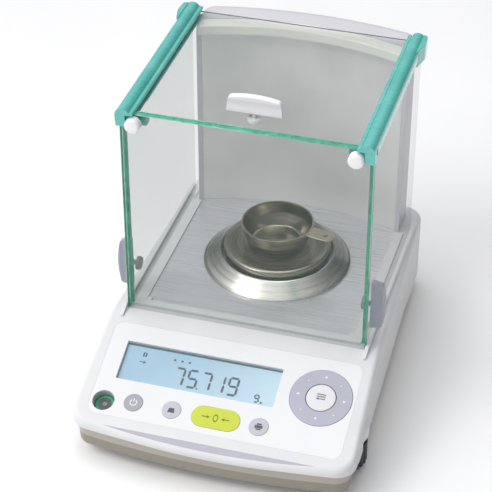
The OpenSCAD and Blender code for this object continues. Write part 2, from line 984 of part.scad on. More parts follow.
module left_foot_pad() {
    color(rubber_black) foot_pad(-1);
}

module right_foot_pad() {
    color(rubber_black) foot_pad(1);
}

module left_foot_wheel() {
    color("#303030") foot_wheel(-1);
}

module right_foot_wheel() {
    color("#303030") foot_wheel(1);
}

// ---- Nodes -----------------------------------------------------------------------------

upper_case();
lower_case();
front_trim();
panel_overlay();
display_window();
lcd_module();
keypad_board();
key_domes();
main_board();
ribbon_cable();
level_cup();
level_vial();
chamber_frame();
floor_plate();
rear_wall();
column_cover();
column_cap();
front_glass();
left_rail();
right_rail();
rear_feet();
dc_jack();
serial_port();
case_screws();
cell_block();
magnet_pot();
load_receiver();
pan_spindle();
lever_arm();
force_coil();
pan();
pan_hub();
draft_ring();
bowl();
left_door_glass();
left_door_handle();
left_door_nut();
right_door_glass();
right_door_handle();
right_door_nut();
top_door_glass();
top_door_handle();
top_door_nut();
power_key();
cal_key();
zero_key();
print_key();
enter_key();
nav_pivot();
nav_ring();
left_thumbscrew();
right_thumbscrew();
left_washer();
right_washer();
left_foot_pad();
left_foot_wheel();
right_foot_pad();
right_foot_wheel();
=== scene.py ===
import json
import math

import bmesh
import bpy
from mathutils import Matrix, Vector


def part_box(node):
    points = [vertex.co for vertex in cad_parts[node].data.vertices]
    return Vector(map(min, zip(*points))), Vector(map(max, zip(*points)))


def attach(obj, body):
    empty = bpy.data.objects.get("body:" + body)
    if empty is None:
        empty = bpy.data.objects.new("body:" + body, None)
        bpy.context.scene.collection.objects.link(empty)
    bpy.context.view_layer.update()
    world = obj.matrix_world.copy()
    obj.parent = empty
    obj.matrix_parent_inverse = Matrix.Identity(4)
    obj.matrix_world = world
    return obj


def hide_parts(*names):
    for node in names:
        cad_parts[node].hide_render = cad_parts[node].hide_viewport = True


# The looks of an analytical balance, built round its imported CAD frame.
# Shapes are worked out in millimetres and written to Blender in metres by piece().

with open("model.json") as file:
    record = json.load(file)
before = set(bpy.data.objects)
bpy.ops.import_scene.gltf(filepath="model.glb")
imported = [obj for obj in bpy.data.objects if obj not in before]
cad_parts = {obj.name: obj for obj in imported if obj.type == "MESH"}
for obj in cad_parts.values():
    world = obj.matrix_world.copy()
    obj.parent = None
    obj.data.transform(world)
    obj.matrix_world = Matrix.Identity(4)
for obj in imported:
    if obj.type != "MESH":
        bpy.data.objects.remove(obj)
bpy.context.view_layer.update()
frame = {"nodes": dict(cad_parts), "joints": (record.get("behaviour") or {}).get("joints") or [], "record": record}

MM = 0.001
HOUSING = "housing"
STEPS = 128                                     # facets of a turned shape


# ---- Outlines ---------------------------------------------------------------------------

def polar(r, degrees):
    a = math.radians(degrees)
    return r * math.cos(a), r * math.sin(a)


def arc(cx, cy, r, a0, a1, n):
    """n + 1 points of an arc; the angles are in degrees."""
    angles = [math.radians(a0 + (a1 - a0) * k / n) for k in range(n + 1)]
    return [(cx + r * math.cos(a), cy + r * math.sin(a)) for a in angles]


def circle(r, n=STEPS, cx=0.0, cy=0.0):
    return arc(cx, cy, r, 0, 360 * (n - 1) / n, n - 1)


def rectangle(x0, y0, x1, y1):
    return [(x0, y0), (x1, y0), (x1, y1), (x0, y1)]


def fillet(points, radius, n=5):
    """A closed outline with its corners rounded; radius is one number, or one for each corner."""
    rounded = []
    for i, corner in enumerate(points):
        r = radius[i] if isinstance(radius, (list, tuple)) else radius
        p = Vector(corner)
        a = Vector(points[i - 1]) - p
        b = Vector(points[(i + 1) % len(points)]) - p
        half = a.angle(b, math.pi) / 2
        if r <= 0 or half > 1.5:
            rounded.append(tuple(p))
            continue
        reach = min(r / math.tan(half), 0.49 * a.length, 0.49 * b.length)
        centre = p + (a.normalized() + b.normalized()).normalized() * (reach / math.cos(half))
        start = p + a.normalized() * reach - centre
        end = p + b.normalized() * reach - centre
        a0 = math.atan2(start.y, start.x)
        turn = (math.atan2(end.y, end.x) - a0 + math.pi) % (2 * math.pi) - math.pi
        rounded += arc(centre.x, centre.y, start.length, math.degrees(a0), math.degrees(a0 + turn), n)
    return rounded


def stadium(w, h, n=20):
    """A bar with round ends, centred, w long and h wide."""
    x = (w - h) / 2
    return arc(x, 0, h / 2, -90, 90, n) + arc(-x, 0, h / 2, 90, 270, n)


def sector(r, width, a0, a1, n=24):
    """A bent bar of a given width along an arc of radius r."""
    return arc(0, 0, r + width / 2, a0, a1, n) + arc(0, 0, r - width / 2, a1, a0, n)


# ---- Solids -----------------------------------------------------------------------------

def recalc(bm):
    bmesh.ops.recalc_face_normals(bm, faces=bm.faces)
    return bm


def lathe(profile, steps=STEPS):
    """The solid that a closed outline of (radius, height) sweeps about Z."""
    bm = bmesh.new()
    rings = []
    for k in range(steps):
        a = 2 * math.pi * k / steps
        rings.append([bm.verts.new((r * math.cos(a), r * math.sin(a), z)) for r, z in profile])
    for k in range(steps):
        here, there = rings[k], rings[(k + 1) % steps]
        for j in range(len(profile)):
            j2 = (j + 1) % len(profile)
            bm.faces.new((here[j], there[j], there[j2], here[j2]))
    bmesh.ops.remove_doubles(bm, verts=bm.verts, dist=1e-4)
    return recalc(bm)


def bridge(bm, rings):
    """Four-sided faces between closed rings that have as many vertices each."""
    n = len(rings[0])
    for below, above in zip(rings, rings[1:]):
        for i in range(n):
            j = (i + 1) % n
            bm.faces.new((below[i], below[j], above[j], above[i]))


def bevel(bm, edges, width, steps):
    if edges and width > 0:
        bmesh.ops.bevel(bm, geom=edges, offset=width, offset_type="OFFSET", segments=steps,
                        profile=0.5, affect="EDGES", clamp_overlap=True)


def prism(outline, z0, z1, top=0.0, bottom=0.0, side=0.0, steps=3):
    """An outline raised from z0 to z1, with its upper, lower and upright edges rounded."""
    bm = bmesh.new()
    low = [bm.verts.new((x, y, z0)) for x, y in outline]
    high = [bm.verts.new((x, y, z1)) for x, y in outline]
    bridge(bm, [low, high])
    bm.faces.new(high)
    bm.faces.new(low[::-1])
    recalc(bm)
    if side > 0:
        bevel(bm, [e for e in bm.edges if abs(e.verts[0].co.z - e.verts[1].co.z) > 1e-6], side, steps)
    for z, width in ((z1, top), (z0, bottom)):
        rim = [e for e in bm.edges if all(abs(v.co.z - z) < 1e-5 for v in e.verts)]
        bevel(bm, rim, width, steps)
    return recalc(bm)


def block(lo, hi, edge=0.0, steps=2):
    """A box between two corners with every edge rounded."""
    return prism(rectangle(lo[0], lo[1], hi[0], hi[1]), lo[2], hi[2], edge, edge, edge, steps)


LYING_X = Matrix.Rotation(math.radians(90), 4, "X")     # lays an upright shape down, its top to the front
LYING_Y = Matrix.Rotation(math.radians(90), 4, "Y")     # lays an upright shape down, its top to the right


def shift(x=0.0, y=0.0, z=0.0):
    return Matrix.Translation((x, y, z))


def placed(bm, matrix):
    bm.transform(matrix)
    return bm


def merged(*solids):
    """Several solids in one mesh, which may share a face but don't cut each other."""
    bm = bmesh.new()
    for solid in solids:
        scratch = bpy.data.meshes.new("scratch")
        solid.to_mesh(scratch)
        solid.free()
        bm.from_mesh(scratch)
        bpy.data.meshes.remove(scratch)
    return bm


def combined(bm, tools, operation="DIFFERENCE"):
    """The solid after an exact boolean with each tool in turn."""
    objects = []
    for k, solid in enumerate([bm, *tools]):
        mesh = bpy.data.meshes.new("scratch")
        solid.to_mesh(mesh)
        solid.free()
        obj = bpy.data.objects.new(f"scratch_{k}", mesh)
        bpy.context.scene.collection.objects.link(obj)
        objects.append(obj)
    for tool in objects[1:]:
        boolean = objects[0].modifiers.new(tool.name, "BOOLEAN")
        boolean.operation = operation
        boolean.solver = "EXACT"
        boolean.object = tool
    result = bmesh.new()
    bpy.context.view_layer.update()
    result.from_object(objects[0], bpy.context.evaluated_depsgraph_get())
    for obj in objects:
        bpy.data.meshes.remove(obj.data)
    bmesh.ops.remove_doubles(result, verts=result.verts, dist=1e-4)
    bmesh.ops.dissolve_degenerate(result, edges=result.edges, dist=1e-4)
    return recalc(result)


def piece(name, bm, look, body, replaces=(), slot=None, sharp=40, edge_look=None):
    """Makes a piece of a solid in millimetres and lets it ride on a body.

    The slot argument is not used.
    """
    if not bm.faces:
        raise ValueError(f"{name} came out empty")
    bm.transform(Matrix.Scale(MM, 4))
    mesh = bpy.data.meshes.new(name)
    bm.to_mesh(mesh)
    bm.free()
    obj = bpy.data.objects.new(name, mesh)
    bpy.context.scene.collection.objects.link(obj)
    mesh.materials.append(LOOKS[look])
    if edge_look:
        mesh.materials.append(LOOKS[edge_look])
    mesh.shade_smooth()
    mesh.set_sharp_from_angle(angle=math.radians(sharp))
    weigh = obj.modifiers.new("weighted_normals", "WEIGHTED_NORMAL")
    weigh.keep_sharp = True
    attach(obj, body)
    if replaces:
        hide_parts(*replaces)
        slot = slot or look
    return obj


# ---- Materials --------------------------------------------------------------------------

def srgb(r, g, b):
    """A linear colour from 8-bit display values."""
    def linear(c):
        c /= 255
        return c / 12.92 if c <= 0.04045 else ((c + 0.055) / 1.055) ** 2.4
    return (linear(r), linear(g), linear(b), 1.0)


def scaled(colour, k):
    return tuple(min(1.0, c * k) for c in colour[:3]) + (1.0,)


LOOKS = {}                                      # every material, by the name it is made with


class Look:
    """A node material under construction, on one Principled shader."""

    def __init__(self, name, **sockets):
        self.material = bpy.data.materials.new(name)
        LOOKS[name] = self.material
        self.material.use_nodes = True
        self.tree = self.material.node_tree
        self.shader = self.tree.nodes["Principled BSDF"]
        self.place = self.node("ShaderNodeTexCoord").outputs["Object"]
        for socket, value in sockets.items():
            self.shader.inputs[socket.replace("_", " ")].default_value = value

    def node(self, kind, links=None, **settings):
        made = self.tree.nodes.new(kind)
        for key, value in settings.items():
            setattr(made, key, value)
        for socket, value in (links or {}).items():
            if isinstance(value, bpy.types.NodeSocket):
                self.tree.links.new(value, made.inputs[socket])
            else:
                made.inputs[socket].default_value = value
        return made

    def stretched(self, x, y, z):
        """Object coordinates multiplied along each axis."""
        return self.node("ShaderNodeMapping", {"Vector": self.place, "Scale": (x, y, z)}).outputs[0]

    def rings(self, centre, along=0.02):
        """Coordinates that change with the distance from an upright axis, and little round it."""
        moved = self.node("ShaderNodeMapping", {"Vector": self.place, "Location": [-c for c in centre]})
        split = self.node("ShaderNodeSeparateXYZ", {0: moved.outputs[0]})
        flat = self.node("ShaderNodeCombineXYZ", {"X": split.outputs["X"], "Y": split.outputs["Y"]})
        reach = self.node("ShaderNodeVectorMath", {0: flat.outputs[0]}, operation="LENGTH")
        turn = self.node("ShaderNodeMath", {0: split.outputs["Y"], 1: split.outputs["X"]},
                         operation="ARCTAN2")
        slow = self.node("ShaderNodeMath", {0: turn.outputs[0], 1: along * MM}, operation="MULTIPLY")
        joined = self.node("ShaderNodeCombineXYZ", {
            "X": reach.outputs["Value"], "Y": slow.outputs[0], "Z": split.outputs["Z"]})
        return joined.outputs[0]

    def painted_sheen(self, centre, bright):
        """A value that swings twice round an upright axis, 1 towards one angle: a painted reflection, the bow-tie
        shine of turned steel.
        """
        moved = self.node("ShaderNodeMapping", {"Vector": self.place, "Location": [-c for c in centre]})
        split = self.node("ShaderNodeSeparateXYZ", {0: moved.outputs[0]})
        turn = self.node("ShaderNodeMath", {0: split.outputs["Y"], 1: split.outputs["X"]},
                         operation="ARCTAN2")
        twice = self.node("ShaderNodeMath", {0: turn.outputs[0], 1: 2.0, 2: -2 * math.radians(bright)},
                          operation="MULTIPLY_ADD")
        return self.node("ShaderNodeMath", {0: twice.outputs[0]}, operation="COSINE").outputs[0]

    def noise(self, size, detail=3.0, place=None):
        """Noise whose lumps are about size millimetres across."""
        made = self.node("ShaderNodeTexNoise", {
            "Vector": place or self.place, "Scale": 1 / (size * MM), "Detail": detail})
        return made.outputs[0]

    def spread(self, value, low, high, start=0.3, end=0.7):
        made = self.node("ShaderNodeMapRange", {
            "Value": value, "From Min": start, "From Max": end, "To Min": low, "To Max": high})
        return made.outputs[0]

    def blend(self, value, first, second, start=0.35, end=0.65):
        """A colour between two, by a value."""
        ramp = self.node("ShaderNodeValToRGB", {0: value})
        ramp.color_ramp.elements[0].position = start
        ramp.color_ramp.elements[0].color = first
        ramp.color_ramp.elements[1].position = end
        ramp.color_ramp.elements[1].color = second
        return ramp.outputs[0]

    def colour(self, output, socket="Base Color"):
        self.tree.links.new(output, self.shader.inputs[socket])

    def rough(self, output):
        self.tree.links.new(output, self.shader.inputs["Roughness"])

    def bump(self, height, depth):
        """Relief whose full height is depth millimetres."""
        made = self.node("ShaderNodeBump", {"Height": height, "Distance": depth * MM, "Strength": 1.0})
        self.tree.links.new(made.outputs[0], self.shader.inputs["Normal"])


def plastic(name, colour, rough=0.42, grain=0.5, depth=0.012, mottle=0.03, **sockets):
    """Moulded plastic: a fine spark-eroded grain, faint mottling and uneven gloss."""
    look = Look(name, **sockets)
    fine = look.noise(grain, 2)
    broad = look.noise(28, 4)
    look.colour(look.blend(broad, scaled(colour, 1 - mottle), colour))
    look.rough(look.spread(look.noise(9, 2), rough - 0.02, rough + 0.03))
    look.bump(fine, depth)


def painted(name, colour, rough=0.5):
    """Powder coat: a tight orange peel over metal."""
    look = Look(name, Coat_Weight=0.15, Coat_Roughness=0.35)
    look.colour(look.blend(look.noise(35, 4), scaled(colour, 0.94), scaled(colour, 1.04)))
    look.rough(look.spread(look.noise(3, 3), rough - 0.06, rough + 0.06))
    look.bump(look.noise(1.1, 2), 0.03)


def brushed(name, colour, rough=0.34, line=0.25, stretch=(0.02, 1, 1), depth=0.004, metallic=1.0):
    """Steel brushed in straight lines."""
    look = Look(name, Metallic=metallic)
    lines = look.noise(line, 3, look.stretched(*stretch))
    streaks = look.noise(line * 12, 3, look.stretched(*stretch))
    look.colour(look.blend(streaks, scaled(colour, 0.96), scaled(colour, 1.03)))
    look.rough(look.spread(lines, rough - 0.05, rough + 0.06))
    look.bump(lines, depth)


def spun(name, colour, centre, rough=0.24, line=0.3, depth=0.004, dark=0.4, bright=-72, **sockets):
    """Steel turned on a lathe, with fine rings round its axis and a painted reflection in its colour: brightest
    towards the angle bright and its opposite, down to dark times the colour between them.
    """
    look = Look(name, Metallic=1.0, **sockets)
    place = look.rings(centre)
    lines = look.noise(line, 3, place)
    # Painted reflection: the painted sheen round the axis, roughened by noise, sets how bright the steel's colour
    # is.
    painted_reflection = look.node("ShaderNodeMath", {
        0: look.painted_sheen(centre, bright), 1: 0.3, 2: look.noise(line * 9, 3, place)}, operation="MULTIPLY_ADD")
    look.colour(look.blend(painted_reflection.outputs[0], scaled(colour, dark), scaled(colour, 1.06), 0.2, 0.8))
    look.rough(look.spread(lines, rough - 0.06, rough + 0.09))
    look.bump(lines, depth)


def clear(name, colour, alpha, rough=0.03, **sockets):
    """A see-through sheet, with the faint marks that wiping leaves."""
    look = Look(name, Alpha=alpha, **sockets)
    look.colour(look.blend(look.noise(60, 3), scaled(colour, 0.96), colour))
    look.rough(look.spread(look.noise(9, 5), rough, rough + 0.05))
    look.bump(look.noise(90, 1), 0.02)


PAN_AXIS = (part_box("pan")[0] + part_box("pan")[1]) / 2
pan_xy = (PAN_AXIS.x, PAN_AXIS.y, 0.0)
CREASE_Z = 19.0                                 # height of the crease in the base's taupe wall

plastic("cover_white", srgb(228, 228, 231), 0.42, Specular_IOR_Level=0.4)
plastic("frame_white", srgb(232, 232, 234), 0.36)
plastic("knob_white", srgb(250, 248, 251), 0.3, mottle=0.02)
plastic("overlay_film", srgb(236, 236, 239), 0.3, 0.3, 0.004, 0.015)
plastic("trim_lavender", srgb(184, 183, 196), 0.4)
plastic("key_lavender", srgb(198, 197, 210), 0.45, 0.35)
plastic("key_dark", srgb(170, 169, 180), 0.45, 0.35)
plastic("key_lime", srgb(206, 217, 66), 0.42, 0.35)
plastic("key_white", srgb(232, 231, 236), 0.4, 0.35)
plastic("handle_grey", srgb(174, 174, 187), 0.4)
painted("wall_grey", srgb(241, 240, 240), 0.45)
plastic("cap_cream", srgb(250, 250, 243), 0.35)
plastic("level_grey", srgb(206, 206, 212), 0.5)
plastic("connector_black", srgb(38, 38, 40), 0.45)
plastic("wheel_black", srgb(42, 42, 46), 0.5, 0.6, 0.03)
plastic("foot_rubber", srgb(40, 40, 41), 0.75, 0.9, 0.05)
plastic("silicone", srgb(222, 222, 216), 0.6)
plastic("ribbon", srgb(200, 200, 196), 0.5)
plastic("washer_nylon", srgb(222, 222, 220), 0.5)
plastic("board_green", srgb(30, 98, 62), 0.35, 1.2, 0.02, 0.15)
brushed("copper", srgb(196, 118, 66), 0.35, 0.4, (1, 1, 20))
brushed("cell_alloy", srgb(186, 188, 192), 0.4, 0.5)
brushed("magnet_steel", srgb(128, 130, 134), 0.4)
brushed("plated_steel", srgb(190, 188, 184), 0.3)
brushed("floor_steel", srgb(226, 226, 231), 0.3, 0.5, (0.01, 1, 1), 0.001, metallic=0.5)
# The pan, ring and bowl wear spun steel's painted reflection; dark and bright set its darkest shade and brightest
# angle. The pan and bowl bases are darker than the ring's as painted darker reflection.
spun("pan_steel", srgb(180, 176, 162), pan_xy, 0.24, 0.5, dark=0.35)
spun("ring_steel", srgb(244, 242, 236), pan_xy, 0.22, 0.35, dark=0.3)
spun("bowl_steel", srgb(182, 176, 160), pan_xy, 0.18, 0.45, 0.005, dark=0.42, bright=-20)
clear("shield_glass", srgb(128, 142, 136), 0.13, Specular_IOR_Level=0.8)
clear("display_clear", srgb(215, 232, 240), 0.08, 0.08)
clear("level_liquid", srgb(82, 178, 132), 0.92, 0.05)
plastic("ink_dark", srgb(92, 90, 98), 0.5, 0.2, 0.002)
plastic("ink_white", srgb(246, 246, 248), 0.5, 0.2, 0.002)
plastic("ink_green", srgb(112, 138, 30), 0.5, 0.2, 0.002)
plastic("ink_slate", srgb(50, 74, 92), 0.5, 0.2, 0.002)
plastic("gasket_teal", srgb(46, 84, 98), 0.5, 0.3, 0.004)
plastic("nut_grey", srgb(150, 150, 156), 0.35, 0.4)
plastic("seal_grey", srgb(140, 144, 156), 0.6, 0.4, 0.01)
plastic("key_ring", srgb(184, 184, 200), 0.42, 0.35)
plastic("bubble_pale", srgb(120, 142, 132), 0.15, 0.6, 0.002)
plastic("level_dark", srgb(84, 88, 94), 0.2, 0.6, 0.002)
# A darker, lavender copy of cover_white: painted shade for the column cover.
plastic("cover_white_shaded", srgb(216, 215, 221), 0.42)


def taupe_paint(crease):
    """Taupe powder coat, with painted shade: the wall below its crease is painted darker than above it."""
    look = Look("base_taupe", Coat_Weight=0.15, Coat_Roughness=0.35)
    split = look.node("ShaderNodeSeparateXYZ", {0: look.place})
    # Painted shade mask: 0 below the crease and 1 above it, added to the coat's faint mottling.
    height = look.spread(split.outputs["Z"], 0.0, 1.0, crease - 0.4 * MM, crease + 0.4 * MM)
    mottle_and_shade = look.node("ShaderNodeMath", {0: look.noise(35, 4), 1: 0.16, 2: height},
                      operation="MULTIPLY_ADD")
    look.colour(look.blend(mottle_and_shade.outputs[0], srgb(146, 139, 127), srgb(184, 178, 166), 0.0, 1.1))
    look.rough(look.spread(look.noise(3, 3), 0.44, 0.56))
    look.bump(look.noise(1.1, 2), 0.03)


def glass_edge():
    """The ground edge of float glass: deep green with random paler patches, and a painted glow from a weak
    emission.
    """
    look = Look("glass_edge", Coat_Weight=0.6, Coat_Roughness=0.08)
    look.colour(look.blend(look.noise(5, 4), srgb(52, 146, 118), srgb(88, 180, 152)))
    look.rough(look.spread(look.noise(1.5, 3), 0.18, 0.34))
    look.bump(look.noise(0.8, 3), 0.02)
    # Painted glow: the edge gives off a little green light of its own.
    look.shader.inputs["Emission Color"].default_value = srgb(60, 150, 120)
    look.shader.inputs["Emission Strength"].default_value = 0.12


def rail_plastic():
    """Tinted clear plastic, cloudy inside, with a painted glow from a weak emission."""
    # Emission_Strength paints a faint teal glow on the rail.
    look = Look("rail_teal", Coat_Weight=0.9, Coat_Roughness=0.1, Emission_Color=srgb(70, 165, 158),
                Emission_Strength=0.1)
    look.colour(look.blend(look.noise(26, 2), srgb(80, 178, 172), srgb(98, 192, 184)))
    look.rough(look.spread(look.noise(6, 3), 0.22, 0.3))
    look.bump(look.noise(14, 1), 0.01)


def lcd_glow(low, high):
    """A backlit display: pale blue, brighter towards its lower right, with a fine cell grain."""
    look = Look("lcd", Coat_Weight=0.3, Coat_Roughness=0.1)
    span = [1 / max(h - l, 1e-6) for l, h in zip(low, high)]
    moved = look.node("ShaderNodeMapping", {
        "Vector": look.place, "Location": [-l * s for l, s in zip(low, span)], "Scale": span})
    split = look.node("ShaderNodeSeparateXYZ", {0: moved.outputs[0]})
    slope = look.node("ShaderNodeMath", {0: split.outputs["X"], 1: 0.75, 2: 0.0}, operation="MULTIPLY_ADD")
    both = look.node("ShaderNodeMath", {0: split.outputs["Y"], 1: -0.35, 2: slope.outputs[0]},
                     operation="MULTIPLY_ADD")
    tone = look.blend(both.outputs[0], srgb(152, 186, 208), srgb(186, 210, 224), 0.0, 0.6)
    look.colour(tone)
    look.colour(tone, "Emission Color")
    look.shader.inputs["Emission Strength"].default_value = 0.16
    look.rough(look.spread(look.noise(0.4, 2), 0.3, 0.4))
    look.bump(look.noise(0.25, 1), 0.003)


taupe_paint(CREASE_Z * MM)
glass_edge()
rail_plastic()
lcd_glow(*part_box("lcd_module"))

# A CAD node that stays visible wears the material named after its slot.
for part in frame["record"]["subparts"]:
    cad_node = frame["nodes"][part["node"]]
    cad_node.data.materials.clear()
    cad_node.data.materials.append(LOOKS[part["material_slot"]])


# ---- Places -----------------------------------------------------------------------------

def mm_box(node):
    """A CAD node's lowest and highest corners, in millimetres."""
    lo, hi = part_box(node)
    return lo / MM, hi / MM


press_axis = next(j["axis"] for j in frame["joints"] if j["name"] == "cal_press")
SLOPE = math.atan2(press_axis[1], -press_axis[2])
PANEL_Y = -137.0
PANEL_Z = 34.0
DECK_Z = mm_box("front_glass")[0].z
ON_PANEL = shift(0, PANEL_Y, PANEL_Z) @ Matrix.Rotation(SLOPE, 4, "X")
DISPLAY_X, DISPLAY_V, DISPLAY_W, DISPLAY_H = -21.0, 52.5, 115.0, 31.0
KEY_V = 20.4
KEY_X = {"power": -60.0, "cal": -32.0, "zero": 0.0, "print": 31.0}
LEVEL_X, LEVEL_V, LEVEL_R = -81.5, 18.0, 7.8
NAV_X, NAV_V, NAV_R = 67.5, 51.3, 22.1
KEY_R = 6.8
ZERO_W, ZERO_H = 35.0, 16.5
KEY_GAP = 0.12
KEY_PROUD = 0.4
OVERLAY = (-91.5, 7.0, 91.5, 82.5)
OVERLAY_CORNER = 7.0
OVERLAY_T = 0.3


def at_panel(x, v, d=0.0):
    """The frame of a place on the panel: x along it, y up its slope and z out of it."""
    return ON_PANEL @ shift(x, v, d)


# ---- Base -------------------------------------------------------------------------------

HALF_W, FRONT_Y, REAR_Y = 102.0, -145.5, 145.5
TAPER = 2.23
FRONT_BOW, REAR_BOW = 600.0, 480.0
FRONT_CORNER, REAR_CORNER = 15.0, 16.0
FEET = {side: (mm_box(f"{side}_foot_wheel")[0] + mm_box(f"{side}_foot_wheel")[1]) / 2
        for side in ("left", "right")}
WHEEL_R = (mm_box("left_foot_wheel")[1].x - mm_box("left_foot_wheel")[0].x) / 2
ARCH_Z = 28.0


def half_outline(inset, side_steps=70):
    """Right half of the base's plan from the front middle to the back middle, drawn inwards."""
    taper = math.radians(TAPER)
    front_x = HALF_W - FRONT_CORNER
    front_y = FRONT_Y + FRONT_BOW - math.hypot(FRONT_BOW - FRONT_CORNER, 0) \
        + (FRONT_BOW - FRONT_CORNER) - math.sqrt((FRONT_BOW - FRONT_CORNER) ** 2 - front_x ** 2)
    reach = front_x * math.cos(taper) + front_y * math.sin(taper) + FRONT_CORNER
    rear_x = front_x
    for _ in range(20):
        rear_y = REAR_Y - REAR_BOW + math.sqrt((REAR_BOW - REAR_CORNER) ** 2 - rear_x ** 2)
        rear_x = (reach - REAR_CORNER - rear_y * math.sin(taper)) / math.cos(taper)
    front_turn = math.degrees(math.atan2(front_y - FRONT_Y - FRONT_BOW, front_x))
    rear_turn = math.degrees(math.atan2(rear_y - REAR_Y + REAR_BOW, rear_x))
    start = arc(0, FRONT_Y + FRONT_BOW, FRONT_BOW - inset, -90, front_turn, 14)
    start += arc(front_x, front_y, FRONT_CORNER - inset, front_turn, TAPER, 12)[1:]
    end = arc(rear_x, rear_y, REAR_CORNER - inset, TAPER, rear_turn, 12)
    end += arc(0, REAR_Y - REAR_BOW, REAR_BOW - inset, rear_turn, 90, 14)[1:]
    (x0, y0), (x1, y1) = start[-1], end[0]
    side = [(x0 + (x1 - x0) * k / side_steps, y0 + (y1 - y0) * k / side_steps)
            for k in range(1, side_steps)]
    return start + side + end


def loft(levels):
    """A solid on the base's plan, from its underside up; each level is (inset, height at y)."""
    bm = bmesh.new()
    rings = []
    for inset, height in levels:
        right = [(x, y, height(y)) for x, y in half_outline(inset)]
        left = [(-x, y, z) for x, y, z in reversed(right[1:-1])]
        rings.append([bm.verts.new(p) for p in right + left])
    bridge(bm, rings)
    n = len(rings[0])
    for ring in (rings[0], rings[-1]):
        for i in range(n // 2):
            corners = [ring[i], ring[i + 1], ring[(n - i - 1) % n], ring[(n - i) % n]]
            bm.faces.new(list(dict.fromkeys(corners)))
    return recalc(bm)


def top_z(y):
    """Height of the upper case: the sloping panel running softly into the deck."""
    soft = 1.0
    panel = PANEL_Z + (y - PANEL_Y) * math.tan(SLOPE)
    gap = (DECK_Z - panel) / soft
    if gap > 30:
        return panel
    if gap < -30:
        return DECK_Z
    return DECK_Z - soft * math.log(1 + math.exp(gap))


def along_y(points):
    """A height that runs in straight lines between (y, z) points."""
    def height(y):
        for (y0, z0), (y1, z1) in zip(points, points[1:]):
            if y <= y1:
                return z0 + (z1 - z0) * max(0.0, (y - y0) / (y1 - y0))
        return points[-1][1]
    return height


skirt_z = along_y([(FRONT_Y, 28), (-120, 26), (-112, 22), (66, 22), (92, 15), (REAR_Y, 15)])
tray_top_z = along_y([(FRONT_Y, 29.5), (-124, 29.5), (-118, 21), (66, 21), (92, 14.5), (REAR_Y, 14.5)])


def panel_holes(extra=0.0, low=-9.0, high=3.0):
    """Cutters for the display, the keys, the ring and the level."""
    w, h = DISPLAY_W / 2, DISPLAY_H / 2
    holes = [placed(prism(fillet(rectangle(-w, -h, w, h), 0.8), low, high), at_panel(DISPLAY_X, DISPLAY_V))]
    for name in ("power", "cal", "print"):
        holes.append(placed(prism(circle(KEY_R + extra, 64), low, high), at_panel(KEY_X[name], KEY_V)))
    zero = stadium(ZERO_W + 2 * extra, ZERO_H + 2 * extra)
    holes.append(placed(prism(zero, low, high), at_panel(KEY_X["zero"], KEY_V)))
    holes.append(placed(prism(circle(NAV_R + extra, 96), low, high), at_panel(NAV_X, NAV_V)))
    holes.append(placed(prism(circle(LEVEL_R + extra, 64), low, high), at_panel(LEVEL_X, LEVEL_V)))
    return holes


def trim_strip(inset, below, above):
    """The sickle in front of the panel, following the slope of the lip."""
    front = [p for p in half_outline(inset) if p[1] < PANEL_Y - inset + 2.9]
    right = [p for p in front if p[0] < 90]
    outline = [(-x, y) for x, y in reversed(right[1:])] + right
    back_y = right[-1][1]
    outline += [(right[-1][0] * (1 - 2 * k / 24), back_y) for k in range(1, 24)]
    bm = bmesh.new()
    low = [bm.verts.new((x, y, top_z(y) + below)) for x, y in outline]
    high = [bm.verts.new((x, y, top_z(y) + above)) for x, y in outline]
    bridge(bm, [low, high])
    bm.faces.new(high)
    bm.faces.new(low[::-1])
    bmesh.ops.triangulate(bm, faces=[f for f in bm.faces if len(f.verts) > 4])
    return recalc(bm)


def upper_case():
    radius = 3.6
    turns = [math.radians(15 * k) for k in range(7)]
    levels = [(2.5, skirt_z), (0.5, skirt_z), (0.15, lambda y: skirt_z(y) + 0.15),
              (0.0, lambda y: skirt_z(y) + 0.5)]
    for a in turns:
        levels.append((radius * (1 - math.cos(a)),
                       lambda y, a=a: min(top_z(y), DECK_Z) - radius * (1 - math.sin(a))))
    outer = loft(levels)
    wall = 2.5
    inner = loft([(wall, lambda y: 0.0), (wall, lambda y: top_z(y) - wall - 2),
                  (wall + 2, lambda y: top_z(y) - wall)])
    blisters = []
    for foot in FEET.values():
        r = WHEEL_R + 1
        profile = [(0, ARCH_Z)] + fillet([(r, ARCH_Z), (r, 41.5), (r - 7.5, 44.5)], [0.4, 6.0, 0.0], 8)
        blisters.append(placed(lathe(profile + [(0, 44.5)], 96), shift(foot.x, foot.y)))
    shell = combined(outer, blisters, "UNION")
    cutters = [inner]
    for foot in FEET.values():
        arch = prism(circle(WHEEL_R + 1.5, 96), -5, ARCH_Z + 0.01)
        cutters.append(placed(arch, shift(foot.x, foot.y)))
    cutters.append(placed(prism(fillet(rectangle(*OVERLAY), OVERLAY_CORNER), -OVERLAY_T, 4), ON_PANEL))
    cutters.append(trim_strip(3.0, -0.8, 5))
    cutters += panel_holes(KEY_GAP)
    cutters.append(prism(circle(16, 64, pan_xy[0], pan_xy[1] / MM), 50, 80))
    sockets = {"dc_jack": fillet(rectangle(-5.3, -5.3, 5.3, 5.3), 5.2, 12),
               "serial_port": fillet(rectangle(-16, -7, 16, 7), 1.5)}
    for node, outline in sockets.items():
        lo, hi = mm_box(node)
        place = shift((lo.x + hi.x) / 2, 0, (lo.z + hi.z) / 2)
        cutters.append(placed(prism(outline, -150, -120), place @ LYING_X))
    piece("upper_case_shell", combined(shell, cutters), "cover_white", HOUSING, ["upper_case"], sharp=32)


